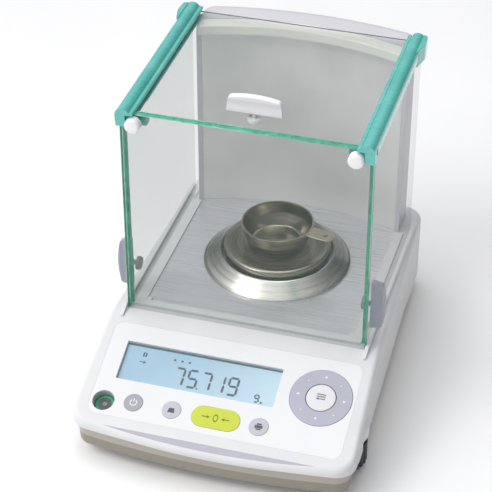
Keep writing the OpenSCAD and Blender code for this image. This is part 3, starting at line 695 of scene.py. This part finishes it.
def lower_case():
    belly = mm_box("lower_case")[0].z
    levels = [(5.4, lambda y: belly), (4.4, lambda y: belly + 0.3), (4.0, lambda y: belly + 1.2),
              (3.5, lambda y: min(CREASE_Z - 0.4, tray_top_z(y) - 1.2)),
              (3.2, lambda y: min(CREASE_Z + 0.4, tray_top_z(y) - 0.8)),
              (3.1, lambda y: tray_top_z(y) - 0.4), (3.4, tray_top_z)]
    outer = loft(levels)
    inner = loft([(7.0, lambda y: belly + 2.5), (5.8, lambda y: belly + 4), (5.8, lambda y: 60.0)])
    shell = combined(outer, [inner])
    wells = []
    for foot in FEET.values():
        r = WHEEL_R + 1.5
        cup = lathe([(r, belly + 0.2), (r + 2.5, belly + 0.2), (r + 2.5, 31), (7, 31), (7, 37),
                     (4.2, 37), (4.2, 28.5), (r, 28.5)], 96)
        wells.append(placed(cup, shift(foot.x, foot.y)))
    keep = loft([(3.15, lambda y: belly), (3.15, lambda y: 60.0)])
    wells = [combined(w, [k], "INTERSECT") for w, k in zip(wells, (keep, keep.copy()))]
    cutters = [placed(prism(circle(WHEEL_R + 1.45, 96), -5, 28.4), shift(foot.x, foot.y))
               for foot in FEET.values()]
    screws = mm_box("case_screws")
    for x in (-50, 50):
        cutters.append(prism(circle(3.3, 32, x, screws[0].y + 3), 0, belly + 3.2))
    for x in (-56, 56):
        cutters.append(prism(circle(3.3, 32, x, screws[1].y - 3), 0, belly + 3.2))
    shell = combined(combined(shell, wells, "UNION"), cutters)
    piece("lower_case_tray", shell, "base_taupe", HOUSING, ["lower_case"], sharp=32)


def front_trim():
    piece("front_trim_strip", trim_strip(3.1, -0.75, -0.06), "trim_lavender", HOUSING, ["front_trim"])


upper_case()
lower_case()
front_trim()

# ---- Key panel --------------------------------------------------------------------------

def ink(name, outlines, look, body, matrix, low, high):
    """A flat printed mark made of several outlines, standing a hair proud of its surface."""
    solid = merged(*[prism(outline, low, high) for outline in outlines])
    piece(name, placed(solid, matrix), look, body)


def bar(x0, y0, x1, y1):
    return rectangle(min(x0, x1), min(y0, y1), max(x0, x1), max(y0, y1))


def pointer(x, y, size, turn):
    """A small triangle that points along an angle given in degrees."""
    a = math.radians(turn)
    cos, sin = math.cos(a), math.sin(a)
    local = [(size, 0), (-0.6 * size, 0.8 * size), (-0.6 * size, -0.8 * size)]
    return [(x + u * cos - v * sin, y + u * sin + v * cos) for u, v in local]


def segment(x0, y0, x1, y1, width):
    """One pointed stroke of a seven-segment figure."""
    a = Vector((x0, y0))
    b = Vector((x1, y1))
    along = (b - a).normalized() * width / 2
    across = Vector((-along.y, along.x))
    points = [a, a + along + across, b - along + across, b, b - along - across, a + along - across]
    return [tuple(p) for p in points]


FIGURES = {"0": "abcdef", "1": "bc", "5": "acdfg", "7": "abc", "9": "abcdfg"}


def figure(digit, x, y, w, h, stroke):
    """Seven-segment strokes of a digit whose lower left corner is (x, y)."""
    r, gap = stroke / 2, 0.12 * stroke
    l, m, t = x + r, y + h / 2, y + h - r
    right, low = x + w - r, y + r
    strokes = {
        "a": (l + gap, t, right - gap, t), "b": (right, t - gap, right, m + gap),
        "c": (right, m - gap, right, low + gap), "d": (l + gap, low, right - gap, low),
        "e": (l, m - gap, l, low + gap), "f": (l, t - gap, l, m + gap),
        "g": (l + gap, m, right - gap, m)}
    return [segment(*strokes[s], stroke) for s in FIGURES[digit]]


def panel_overlay():
    x0, v0, x1, v1 = OVERLAY
    sheet = prism(fillet(rectangle(x0 + 0.1, v0 + 0.1, x1 - 0.1, v1 - 0.1), OVERLAY_CORNER, 8),
                  -OVERLAY_T, -0.02, top=0.08)
    sheet = combined(placed(sheet, ON_PANEL), panel_holes(KEY_GAP))
    piece("panel_overlay_film", sheet, "overlay_film", HOUSING, ["panel_overlay"])


def display():
    w, h = DISPLAY_W, DISPLAY_H
    face = -2.9
    corner = at_panel(DISPLAY_X - w / 2, DISPLAY_V + h / 2)       # the display's top left corner
    pane = fillet(rectangle(0.15, -h + 0.15, w - 0.15, -0.15), 0.7)
    pane = prism(pane, -2.4, -0.12, top=0.25, bottom=0.1)
    piece("display_pane", placed(pane, corner), "display_clear", HOUSING, ["display_window"])
    stroke, pitch, left, base = 1.65, 9.9, 39.3, -27.0
    marks = []
    for k, digit in enumerate("75719"):
        marks += figure(digit, left + k * pitch, base, 8.0, 15.0, stroke)
    marks.append(bar(left + 2 * pitch - 1.5, base, left + 2 * pitch - 0.4, base + 1.2))
    marks += [bar(13, -9, 14.2, -5.5), bar(14.8, -9, 16, -5.5)]
    marks += [bar(12.3, -13.8, 15.2, -13.1), pointer(15.8, -13.45, 1.5, 0)]
    marks += [bar(x, -8, x + 1.6, -6.6) for x in (36, 41.5, 47)]
    marks += figure("9", 99.6, -28.4, 4.0, 6.6, 1.1)
    marks += [bar(104.6, -28.4, 106.0, -27.0)]
    ink("display_marks", marks, "ink_slate", HOUSING, corner, face + 0.02, face + 0.12)
    # Painted shadow: a dark teal strip along the display's top edge stands for the shadow of the recess's upper
    # wall.
    rim = prism(rectangle(0.2, -1.5, w - 0.2, -0.2), face + 0.02, face + 0.3)
    piece("display_top_shadow_strip", placed(rim, corner), "gasket_teal", HOUSING)
    sides = [bar(0.2, -h + 0.2, 0.6, -1.5), bar(w - 0.6, -h + 0.2, w - 0.2, -1.5),
             bar(0.6, -h + 0.2, w - 0.6, -h + 0.5)]
    ink("display_border", sides, "gasket_teal", HOUSING, corner, face + 0.02, face + 0.2)


def key_profile(r):
    """Half section of a round key: a flange under the case and a softly rounded cap."""
    cap = fillet([(r, -2.8), (r, KEY_PROUD), (0, KEY_PROUD + 0.08)], [0, 0.45, 0], 5)
    return [(0, -3.6), (r + 1.2, -3.6), (r + 1.2, -2.8)] + cap


def keys():
    for name, look in (("power", "key_dark"), ("cal", "key_lavender"), ("print", "key_lavender")):
        cap = placed(lathe(key_profile(KEY_R), 72), at_panel(KEY_X[name], KEY_V))
        piece(f"{name}_key_cap", cap, look, f"{name}_key", [f"{name}_key"])
    zero = merged(prism(stadium(ZERO_W, ZERO_H, 28), -2.8, KEY_PROUD + 0.05, top=0.45),
                  prism(stadium(ZERO_W + 2.4, ZERO_H + 2.4, 28), -3.6, -2.8))
    piece("zero_key_cap", placed(zero, at_panel(KEY_X["zero"], KEY_V)), "key_lime",
          "zero_key", ["zero_key"])
    face = KEY_PROUD + 0.06
    marks = {
        "power": ("ink_white", [sector(2.3, 0.6, 125, 415), bar(-0.3, 0.9, 0.3, 3.0)]),
        "cal": ("ink_dark", [[(-2.6, -2.3), (2.6, -2.3), (1.9, 1.1), (-1.9, 1.1)],
                           sector(1.0, 0.55, 0, 180), bar(-1.3, 1.1, -0.7, 1.5), bar(0.7, 1.1, 1.3, 1.5)]),
        "print": ("ink_dark", [bar(-2.8, -1.3, 2.8, 1.0), bar(-1.7, 1.3, 1.7, 2.5),
                               bar(-1.7, -2.6, 1.7, -1.6)])}
    for name, (look, outlines) in marks.items():
        place = at_panel(KEY_X[name], KEY_V)
        ink(f"{name}_key_mark", outlines, look, f"{name}_key", place, face, face + 0.06)
    arrows = [bar(-10.0, -0.35, -6.0, 0.35), pointer(-5.4, 0, 1.5, 0),
              bar(6.0, -0.35, 10.0, 0.35), pointer(5.4, 0, 1.5, 180)]
    ring = [sector(2.0, 0.75, a, a + 90, 10) for a in (0, 90, 180, 270)]
    ring = [[(0.8 * x, 1.25 * y) for x, y in outline] for outline in ring]
    place = at_panel(KEY_X["zero"], KEY_V)
    ink("zero_key_mark", arrows + ring, "ink_green", "zero_key", place, face, face + 0.06)


def nav_keys():
    middle = at_panel(NAV_X, NAV_V)
    inner, outer = 10.85, NAV_R - 0.1
    r = (inner + outer) / 2
    section = fillet([(inner, -2.6), (outer, -2.6), (outer, KEY_PROUD), (r, KEY_PROUD - 0.12),
                      (inner, KEY_PROUD)], [0, 0, 0.4, 20, 0.4], 6)
    piece("nav_ring_disc", placed(lathe(section, 144), middle), "key_ring",
          "nav_ring", ["nav_ring"], "key_lavender")
    marks = [pointer(*polar(r, a), 1.25, a) for a in (0, 90, 180, 270)]
    marks += [circle(0.45, 16, *polar(r, a)) for a in (45, 135, 225, 315)]
    ink("nav_ring_marks", marks, "ink_white", "nav_ring", middle, 0.1, KEY_PROUD - 0.02)
    cap = fillet([(10.4, -1.6), (10.4, KEY_PROUD + 0.1), (0, KEY_PROUD + 0.35)], [0.3, 0.7, 0], 6)
    button = lathe([(0, -5), (2, -5), (2, -1.6)] + cap, 96)
    piece("enter_key_cap", placed(button, middle), "key_white", "enter_key", ["enter_key"])
    face = KEY_PROUD + 0.3
    lines = [bar(-3.2, v - 0.35, 3.2, v + 0.35) for v in (2.3, 0.6)]
    lines += [bar(-1.6, -1.55, 3.2, -0.9), pointer(-2.2, -1.22, 1.2, 180)]
    ink("enter_key_mark", lines, "ink_dark", "enter_key", middle, face - 0.2, face + 0.08)


def level():
    place = at_panel(LEVEL_X, LEVEL_V)
    r = LEVEL_R
    cup = [(0, -11), (r + 1.5, -11), (r + 1.5, -2.7), (r, -2.7), (r, -9.9), (r - 0.3, -10), (0, -10)]
    piece("level_cup_wall", placed(lathe(cup, 96), place), "level_grey", HOUSING, ["level_cup"])
    vial = fillet([(0, -10), (r - 0.4, -10), (r - 0.4, -6.2), (0, -5.5)], [0, 0, 0.8, 0], 6)
    piece("level_vial_glass", placed(lathe(vial, 96), place), "level_liquid", HOUSING, ["level_vial"])
    dome = lathe(fillet([(0, -6.2), (4.9, -6.2), (4.9, -5.6), (0, -5.3)], [0, 0, 0.3, 0], 5), 64)
    piece("level_target", placed(dome, place), "level_dark", HOUSING)
    ring = lathe(fillet([(2.4, -5.5), (2.8, -5.5), (2.8, -5.2), (2.4, -5.2)], 0.05, 2), 48)
    piece("level_mark", placed(ring, place), "ink_dark", HOUSING)
    bubble = lathe(fillet([(0, -5.4), (1.7, -5.4), (1.7, -5.25), (0, -5.15)], [0, 0.05, 0.1, 0], 5), 40)
    piece("level_bubble", placed(bubble, place @ shift(0.3, -0.2)), "bubble_pale", HOUSING)


# ---- Weighing chamber -------------------------------------------------------------------

GLASS_HALF_W, DOOR_GLASS_T = 88.0, 3.5
DOOR_X0 = GLASS_HALF_W - DOOR_GLASS_T
GLASS_TOP_Z = mm_box("front_glass")[1].z
GLASS_FRONT_Y = mm_box("front_glass")[0].y
SCREW_X = 77.0
SCREW_Z = GLASS_TOP_Z - DOOR_GLASS_T - 2.7
SIDE_GRIP = Vector((GLASS_HALF_W, -33.0, 98.0))
TOP_GRIP = Vector((0.0, -22.0, GLASS_TOP_Z))
TRACK_Y0, TRACK_Y1 = -42.7, 116.0
TRACK_TOP_Z = DECK_Z + 4.0
FLOOR_HALF_W, FLOOR_FRONT_Y = 77.0, -37.0
MIRROR = Matrix.Scale(-1, 4, (1, 0, 0))


def both_sides(make):
    """Yields the side's name and its solid, drawn for the right and mirrored for the left."""
    yield "right", make()
    yield "left", recalc(placed(make(), MIRROR))


def sheet(name, node, body, bright_edges, holes=()):
    """A pane with a fine arris all round it; the listed edges are left bright, the others are seated."""
    lo, hi = mm_box(node)
    pane = combined(block(lo, hi, 0.4, 1), holes)
    for face in pane.faces:
        face.material_index = 1 if any(face.normal.dot(Vector(e)) > 0.6 for e in bright_edges) else 0
    piece(name, pane, "shield_glass", body, [node], sharp=20, edge_look="glass_edge")


def glasses():
    holes = [placed(prism(circle(2.6, 32), 40, 50), shift(s * SCREW_X, 0, SCREW_Z)
                    @ LYING_X) for s in (-1, 1)]
    sheet("front_glass_pane", "front_glass", HOUSING, [(1, 0, 0), (-1, 0, 0), (0, 0, 1)], holes)
    for name, s in (("left", -1), ("right", 1)):
        hole = placed(prism(circle(1.8, 32), -95, 95), shift(0, SIDE_GRIP.y, SIDE_GRIP.z)
                      @ LYING_Y)
        sheet(f"{name}_door_pane", f"{name}_door_glass", f"{name}_door", [(0, -1, 0)], [hole])
    hole = prism(circle(1.8, 32, TOP_GRIP.x, TOP_GRIP.y), 220, 240)
    sheet("top_door_pane", "top_door_glass", "top_door", [(0, -1, 0)], [hole])
    lo, hi = mm_box("top_door_glass")
    seal = block((lo.x + 0.5, hi.y - 0.1, hi.z - 1.0), (hi.x - 0.5, hi.y + 0.25, hi.z - 0.1), 0.1, 1)
    piece("top_door_seal", seal, "seal_grey", "top_door")


def grip_solid(length=39.5, height=13.0, thick=5.0):
    """A finger grip standing on z = 0: an arched bar, wider at its root; its stud is made by stud_solid()."""
    crown = arc(0, height - 80, 80, 76.8, 103.2, 10)
    outline = [(-length / 2, 0), (length / 2, 0)] + crown
    radii = [0.6, 0.6, 2.4] + [0] * (len(crown) - 2) + [2.4]
    body = prism(fillet(outline, radii, 6), -thick / 2, thick / 2, top=1.1, bottom=1.1, steps=4)
    body = placed(body, LYING_X)
    hollows = []
    for s in (-1, 1):
        roll = prism(circle(12, 72), -length, length)
        hollows.append(placed(roll, shift(0, s * (thick / 2 + 11.4), height * 0.46)
                              @ LYING_Y))
    return combined(body, hollows)


def stud_solid():
    return prism(circle(1.6, 32), -DOOR_GLASS_T, 0.5)


def nut_solid():
    top = -DOOR_GLASS_T
    return lathe(fillet([(0, top - 3), (5, top - 3), (5, top), (0, top)], [0, 0.8, 0.2, 0], 5), 64)


def grips():
    side = shift(*SIDE_GRIP) @ LYING_Y
    for name, solid in both_sides(lambda: placed(merged(grip_solid(height=10.5), stud_solid()), side)):
        piece(f"{name}_door_grip", solid, "handle_grey", f"{name}_door", [f"{name}_door_handle"])
    for name, solid in both_sides(lambda: placed(nut_solid(), side)):
        piece(f"{name}_door_cap_nut", solid, "nut_grey", f"{name}_door", [f"{name}_door_nut"], "knob_white")
    top = shift(*TOP_GRIP)
    piece("top_door_grip", placed(merged(grip_solid(), stud_solid()), top), "knob_white",
          "top_door", ["top_door_handle"])
    piece("top_door_cap_nut", placed(nut_solid(), top), "knob_white", "top_door", ["top_door_nut"])


def knobs():
    for name, s in (("left", -1), ("right", 1)):
        axis = shift(s * SCREW_X, GLASS_FRONT_Y, SCREW_Z) @ LYING_X
        head = fillet([(2, 0.6), (5.5, 0.6), (5.5, 7.0), (0, 7.3)], [0, 0.5, 1.8, 0], 6)
        screw = lathe([(0, -9.5), (1.7, -9.5), (2, -9.1)] + head, 72)
        piece(f"{name}_thumbscrew_head", placed(screw, axis), "knob_white", f"{name}_thumbscrew",
              [f"{name}_thumbscrew"])


def rail_section():
    """Right-hand rail, seen from the front: a flat inner strip beside a rounded outer bead."""
    bead = arc(84.4, 232.4, 5.2, 0, 142, 18)
    strip = fillet([(80.0, 234.9), (77, 234.7), (77, 232.6)], [0.2, 0.7, 0], 4)
    inner = [(80, 232.6), (80, 228.3), (77, 228.3), (77, 227), (84.2, 227), (84.2, 232.6), (88.3, 232.6)]
    return fillet([(88.3, 227), (89.5, 227), (89.6, 232.4)], [0.2, 0.5, 0], 3)[:-1] + bead + strip + inner


def rail_solid():
    body = prism(rail_section(), -107, 51, top=0.9, bottom=0.9, steps=3)
    body = placed(body, LYING_X)
    tail = prism(fillet([(88.3, 81), (89.6, 82), (92.4, 94), (91.8, 105), (90.0, 107), (88.3, 107)],
                        [0, 5, 8, 3, 1, 0], 6), 224, 236.6, top=3.4, bottom=3.0, steps=5)
    clip = block((82.5, -51, 223.5), (89.5, -47.2, 234), 0.8, 3)
    boss = block((SCREW_X - 7, -42.8, 221.5), (84.2, -36, 228.1), 0.6, 2)
    body = combined(body, [tail, boss, clip], "UNION")
    cutters = [block((0, -47.2, 200), (120, -42.8, 232.6)), block((0, -60, 200), (82.5, -47, 232.6)),
               block((0, 97, 200), (82.9, 120, 228.2)),
               placed(prism(circle(2.06, 32), 20, 60), shift(SCREW_X, 0, SCREW_Z)
                      @ LYING_X)]
    return combined(body, cutters)


def rails():
    for name, solid in both_sides(rail_solid):
        piece(f"{name}_rail_bead", solid, "rail_teal", HOUSING, [f"{name}_rail"], sharp=30)


def frame_side():
    """The right half of the chamber's frame: door groove, outer track wall and corner block."""
    wall_x0, wall_x1 = GLASS_HALF_W + 0.3, GLASS_HALF_W + 3
    floor = block((DOOR_X0 - 0.3, TRACK_Y0, DECK_Z), (wall_x0 + 0.2, TRACK_Y1, DECK_Z + 1.2))
    ramp = fillet([(TRACK_Y0 - 14, DECK_Z), (TRACK_Y1, DECK_Z), (TRACK_Y1, TRACK_TOP_Z),
                   (TRACK_Y0 - 4, TRACK_TOP_Z)], [0, 0, 0.6, 3], 5)
    wall = placed(prism(ramp, wall_x0, wall_x1, top=0.6, bottom=0.3),
                  Matrix(((0, 0, 1, 0), (1, 0, 0, 0), (0, 1, 0, 0), (0, 0, 0, 1))))
    corner = block((FLOOR_HALF_W - 3.5, FLOOR_FRONT_Y - 0.2, DECK_Z),
                   (FLOOR_HALF_W + 0.3, FLOOR_FRONT_Y + 4, DECK_Z + 2.5), 0.5)
    return merged(floor, wall, corner)


def chamber_frame():
    half = DOOR_X0 - 0.3
    rim = block((-half, TRACK_Y0, DECK_Z), (half, 97, DECK_Z + 2.5), 0.5)
    edge = FLOOR_HALF_W + 0.2
    opening = fillet(rectangle(-edge, FLOOR_FRONT_Y - 0.2, edge, 200), 0.8)
    rim = combined(rim, [prism(opening, 0, 200)])
    whole = merged(rim, *[solid for _, solid in both_sides(frame_side)])
    piece("chamber_frame_rim", whole, "frame_white", HOUSING, ["chamber_frame"])


# ---- Column -----------------------------------------------------------------------------

COLUMN_HALF_W, COLUMN_TOP_Z = 80.0, 228.0
WALL_R, WALL_MID_Y, WALL_T = 220.8, 114.0, 2.5
BACK_R, BACK_MID_Y = 325.0, 141.0
CAP_R, CAP_MID_Y, CAP_HALF_W, CAP_T = 204.0, 103.0, 76.0, 8.0


def plan_arc(r, mid_y, x0, x1, n=32):
    """Points at equal steps of X on an arc whose middle is at mid_y."""
    return [(x0 + (x1 - x0) * k / n, mid_y - r + math.sqrt(r ** 2 - (x0 + (x1 - x0) * k / n) ** 2))
            for k in range(n + 1)]


def wall_band(front, back, half):
    """Plan of a band that runs from front to back millimetres behind the rear wall's face."""
    return (plan_arc(WALL_R + front, WALL_MID_Y + front, -half, half)
            + plan_arc(WALL_R + back, WALL_MID_Y + back, half, -half))


def column_ring(side_in, back_in, corner=9.0):
    """The column's plan with its sides and back drawn in."""
    half = COLUMN_HALF_W - side_in
    cx = half - corner
    cy = BACK_MID_Y - BACK_R + math.sqrt((BACK_R - back_in - corner) ** 2 - cx ** 2)
    turn = math.degrees(math.atan2(cy - BACK_MID_Y + BACK_R, cx))
    right = arc(cx, cy, corner, 0, turn, 8)
    left = [(-x, y) for x, y in reversed(right)]
    back = arc(0, BACK_MID_Y - BACK_R, BACK_R - back_in, turn, 180 - turn, 24)[1:-1]
    return plan_arc(WALL_R, WALL_MID_Y, -half, half) + right + back + left


def column_cover():
    levels = [(0.0, 0.0, DECK_Z)]
    crown = 14                                  # height and depth of the rounding at the top
    for k in range(8):
        a = math.radians(90 * k / 7)
        levels.append((2.5 * (1 - math.cos(a)), crown * (1 - math.cos(a)),
                       COLUMN_TOP_Z - crown + crown * math.sin(a)))
    bm = bmesh.new()
    rings = [[bm.verts.new((x, y, z)) for x, y in column_ring(side_in, back_in)]
             for side_in, back_in, z in levels]
    bridge(bm, rings)
    caps = [bm.faces.new(rings[-1]), bm.faces.new(rings[0][::-1])]
    bmesh.ops.triangulate(bm, faces=caps)
    half = COLUMN_HALF_W - 3.5
    cover = combined(recalc(bm), [prism(wall_band(-1, WALL_T, half), DECK_Z - 5, COLUMN_TOP_Z - CAP_T)])
    # The column cover wears the darker copy of the cover's white: painted shade.
    piece("column_cover_shell", cover, "cover_white_shaded", HOUSING, ["column_cover"], "cover_white", 30)


def rear_wall():
    half = COLUMN_HALF_W - 3.6
    wall = prism(wall_band(0, WALL_T, half), DECK_Z, COLUMN_TOP_Z - CAP_T)
    piece("rear_wall_sheet", wall, "wall_grey", HOUSING, ["rear_wall"], sharp=30)


def column_cap():
    outline = plan_arc(CAP_R, CAP_MID_Y, -CAP_HALF_W, CAP_HALF_W)
    outline += plan_arc(WALL_R, WALL_MID_Y, CAP_HALF_W, -CAP_HALF_W)
    radii = [1.5] + [0] * 31 + [1.5] + [0] * 33
    cap = prism(fillet(outline, radii), COLUMN_TOP_Z - CAP_T, COLUMN_TOP_Z, top=0.9, bottom=1.6, steps=4)
    piece("column_cap_lip", cap, "cap_cream", HOUSING, ["column_cap"], sharp=35)


# ---- Pan, ring and bowl -----------------------------------------------------------------

PAN_R, PAN_Z = 40.0, 84.0
RING_R, BOWL_R, BOWL_H, BOWL_TURN = 55.0, 27.0, 18.5, -12.0
AT_PAN = shift(pan_xy[0] / MM, pan_xy[1] / MM)


def pan():
    outside = fillet([(0, PAN_Z), (PAN_R, PAN_Z), (PAN_R, PAN_Z - 7)], [0, 2.4, 0.3], 8)
    inside = fillet([(PAN_R - 1, PAN_Z - 7), (PAN_R - 1, PAN_Z - 1), (0, PAN_Z - 1)], [0.3, 1.6, 0], 8)
    piece("pan_plate", placed(lathe(outside + inside, 160), AT_PAN), "pan_steel", "pan", ["pan"])


def draft_ring():
    z0, z1, inner = DECK_Z + 1.2, 78.6, PAN_R + 2
    outside = fillet([(RING_R - 0.7, z0), (RING_R, z0), (RING_R, z0 + 1.4), (inner + 1.2, z1), (inner, z1),
                      (inner, 75), (inner + 0.8, 75), (inner + 1, 77.4)],
                     [0.1, 0.2, 0.8, 1.6, 0.3, 0.1, 0.1, 0.4], 6)
    ring = placed(lathe(outside, 180), AT_PAN)
    piece("draft_ring_cone", ring, "ring_steel", "draft_ring", ["draft_ring"])


def bowl():
    z, top = PAN_Z, PAN_Z + BOWL_H
    outside = fillet([(0, z + 0.02), (19.6, z + 0.02), (23.0, z + 6.2), (25.2, z + 9.2), (26.5, top - 1.4)],
                     [0, 1.8, 3, 4, 0], 6)
    rim = arc(BOWL_R - 0.75, top - 0.75, 0.75, -60, 190, 10)
    inside = fillet([(25.6, top - 2), (24.3, z + 9.6), (22.2, z + 6.6), (18.8, z + 0.9), (0, z + 0.9)],
                    [0, 4, 3, 2.4, 0], 6)
    wall = placed(lathe(outside + rim + inside, 144), AT_PAN)
    piece("bowl_wall", wall, "bowl_steel", "bowl", ["bowl"])
    reach, half, root = 19.5, 6.0, BOWL_R - 1.0
    outline = [(root, -half)] + arc(BOWL_R + reach - half, 0, half, -90, 90, 20) + [(root, half)]
    tab = prism(outline, top - 1.5, top - 0.4, top=0.3, bottom=0.3)
    tab = combined(tab, [prism(circle(1.7, 32, BOWL_R + reach - 7), 0, 200)])
    turned = AT_PAN @ Matrix.Rotation(math.radians(BOWL_TURN), 4, "Z")
    piece("bowl_tab", placed(tab, turned), "bowl_steel", "bowl", slot="bowl_steel")


panel_overlay()
display()
keys()
nav_keys()
level()
glasses()
grips()
knobs()
rails()
chamber_frame()
column_cover()
rear_wall()
column_cap()
pan()
draft_ring()
bowl()


# ---- Floor, light and camera ------------------------------------------------------------

FLOOR_SIZE = 6000.0
CAMERA_AZIMUTH = 16.34
CAMERA_ELEVATION = 35.63
CAMERA_TARGET = Vector((-14.4, 5.9, 100.0)) * MM
CAMERA_DISTANCE = 1.309
CAMERA_LENS = 131.7


def studio_floor():
    look = Look("studio_floor", Specular_IOR_Level=0.1, Emission_Color=srgb(250, 250, 252),
                Emission_Strength=0.05)
    look.colour(look.blend(look.noise(160, 3), srgb(246, 246, 247), srgb(249, 249, 250)))
    look.rough(look.spread(look.noise(20, 3), 0.75, 0.85))
    mesh = bpy.data.meshes.new("studio_floor")
    s = FLOOR_SIZE / 2 * MM
    mesh.from_pydata([(-s, -s, 0), (s, -s, 0), (s, s, 0), (-s, s, 0)], [], [(0, 1, 2, 3)])
    mesh.materials.append(look.material)
    obj = bpy.data.objects.new("studio_floor", mesh)
    bpy.context.scene.collection.objects.link(obj)
    obj.location.z = -0.0002


def area_light(name, place, aim, size, power, tint=(1.0, 1.0, 1.0)):
    light = bpy.data.lights.new(name, "AREA")
    light.shape = "RECTANGLE"
    light.size, light.size_y = size
    light.energy = power
    light.color = tint
    obj = bpy.data.objects.new(name, light)
    bpy.context.scene.collection.objects.link(obj)
    obj.location = place
    obj.rotation_euler = (Vector(aim) - Vector(place)).to_track_quat("-Z", "Y").to_euler()


def studio_world():
    world = bpy.data.worlds.new("studio")
    world.use_nodes = True
    tree = world.node_tree
    back = tree.nodes["Background"]
    place = tree.nodes.new("ShaderNodeTexCoord")
    towards = tree.nodes.new("ShaderNodeVectorMath")
    towards.operation = "DOT_PRODUCT"
    towards.inputs[1].default_value = (-0.45, -0.1, 0.88)
    ramp = tree.nodes.new("ShaderNodeValToRGB")
    levels = [(0.0, 0.14), (0.3, 0.34), (0.65, 0.85), (1.0, 1.4)]
    for position, level in levels[1:-1]:
        ramp.color_ramp.elements.new(position)
    for element, (position, level) in zip(ramp.color_ramp.elements, levels):
        element.position = position
        element.color = (level * 0.985, level * 0.99, level, 1)
    tree.links.new(place.outputs["Generated"], towards.inputs[0])
    tree.links.new(towards.outputs["Value"], ramp.inputs[0])
    tree.links.new(ramp.outputs[0], back.inputs["Color"])
    back.inputs["Strength"].default_value = 0.9
    bpy.context.scene.world = world


def camera():
    data = bpy.data.cameras.new("camera")
    data.lens = CAMERA_LENS
    data.sensor_width = 36
    data.dof.use_dof = False
    obj = bpy.data.objects.new("camera", data)
    bpy.context.scene.collection.objects.link(obj)
    a, e = math.radians(CAMERA_AZIMUTH), math.radians(CAMERA_ELEVATION)
    back = Vector((math.sin(a) * math.cos(e), -math.cos(a) * math.cos(e), math.sin(e)))
    obj.location = CAMERA_TARGET + back * CAMERA_DISTANCE
    obj.rotation_euler = (-back).to_track_quat("-Z", "Y").to_euler()
    bpy.context.scene.camera = obj


studio_floor()
studio_world()
area_light("key", (-0.9, -0.8, 1.4), (0, 0, 0.1), (0.9, 0.9), 11, (1.0, 0.99, 0.97))
area_light("top", (0.0, 0.1, 1.5), (0, 0.02, 0.1), (0.6, 0.8), 3)
camera()
bpy.context.scene.view_settings.view_transform = "Standard"
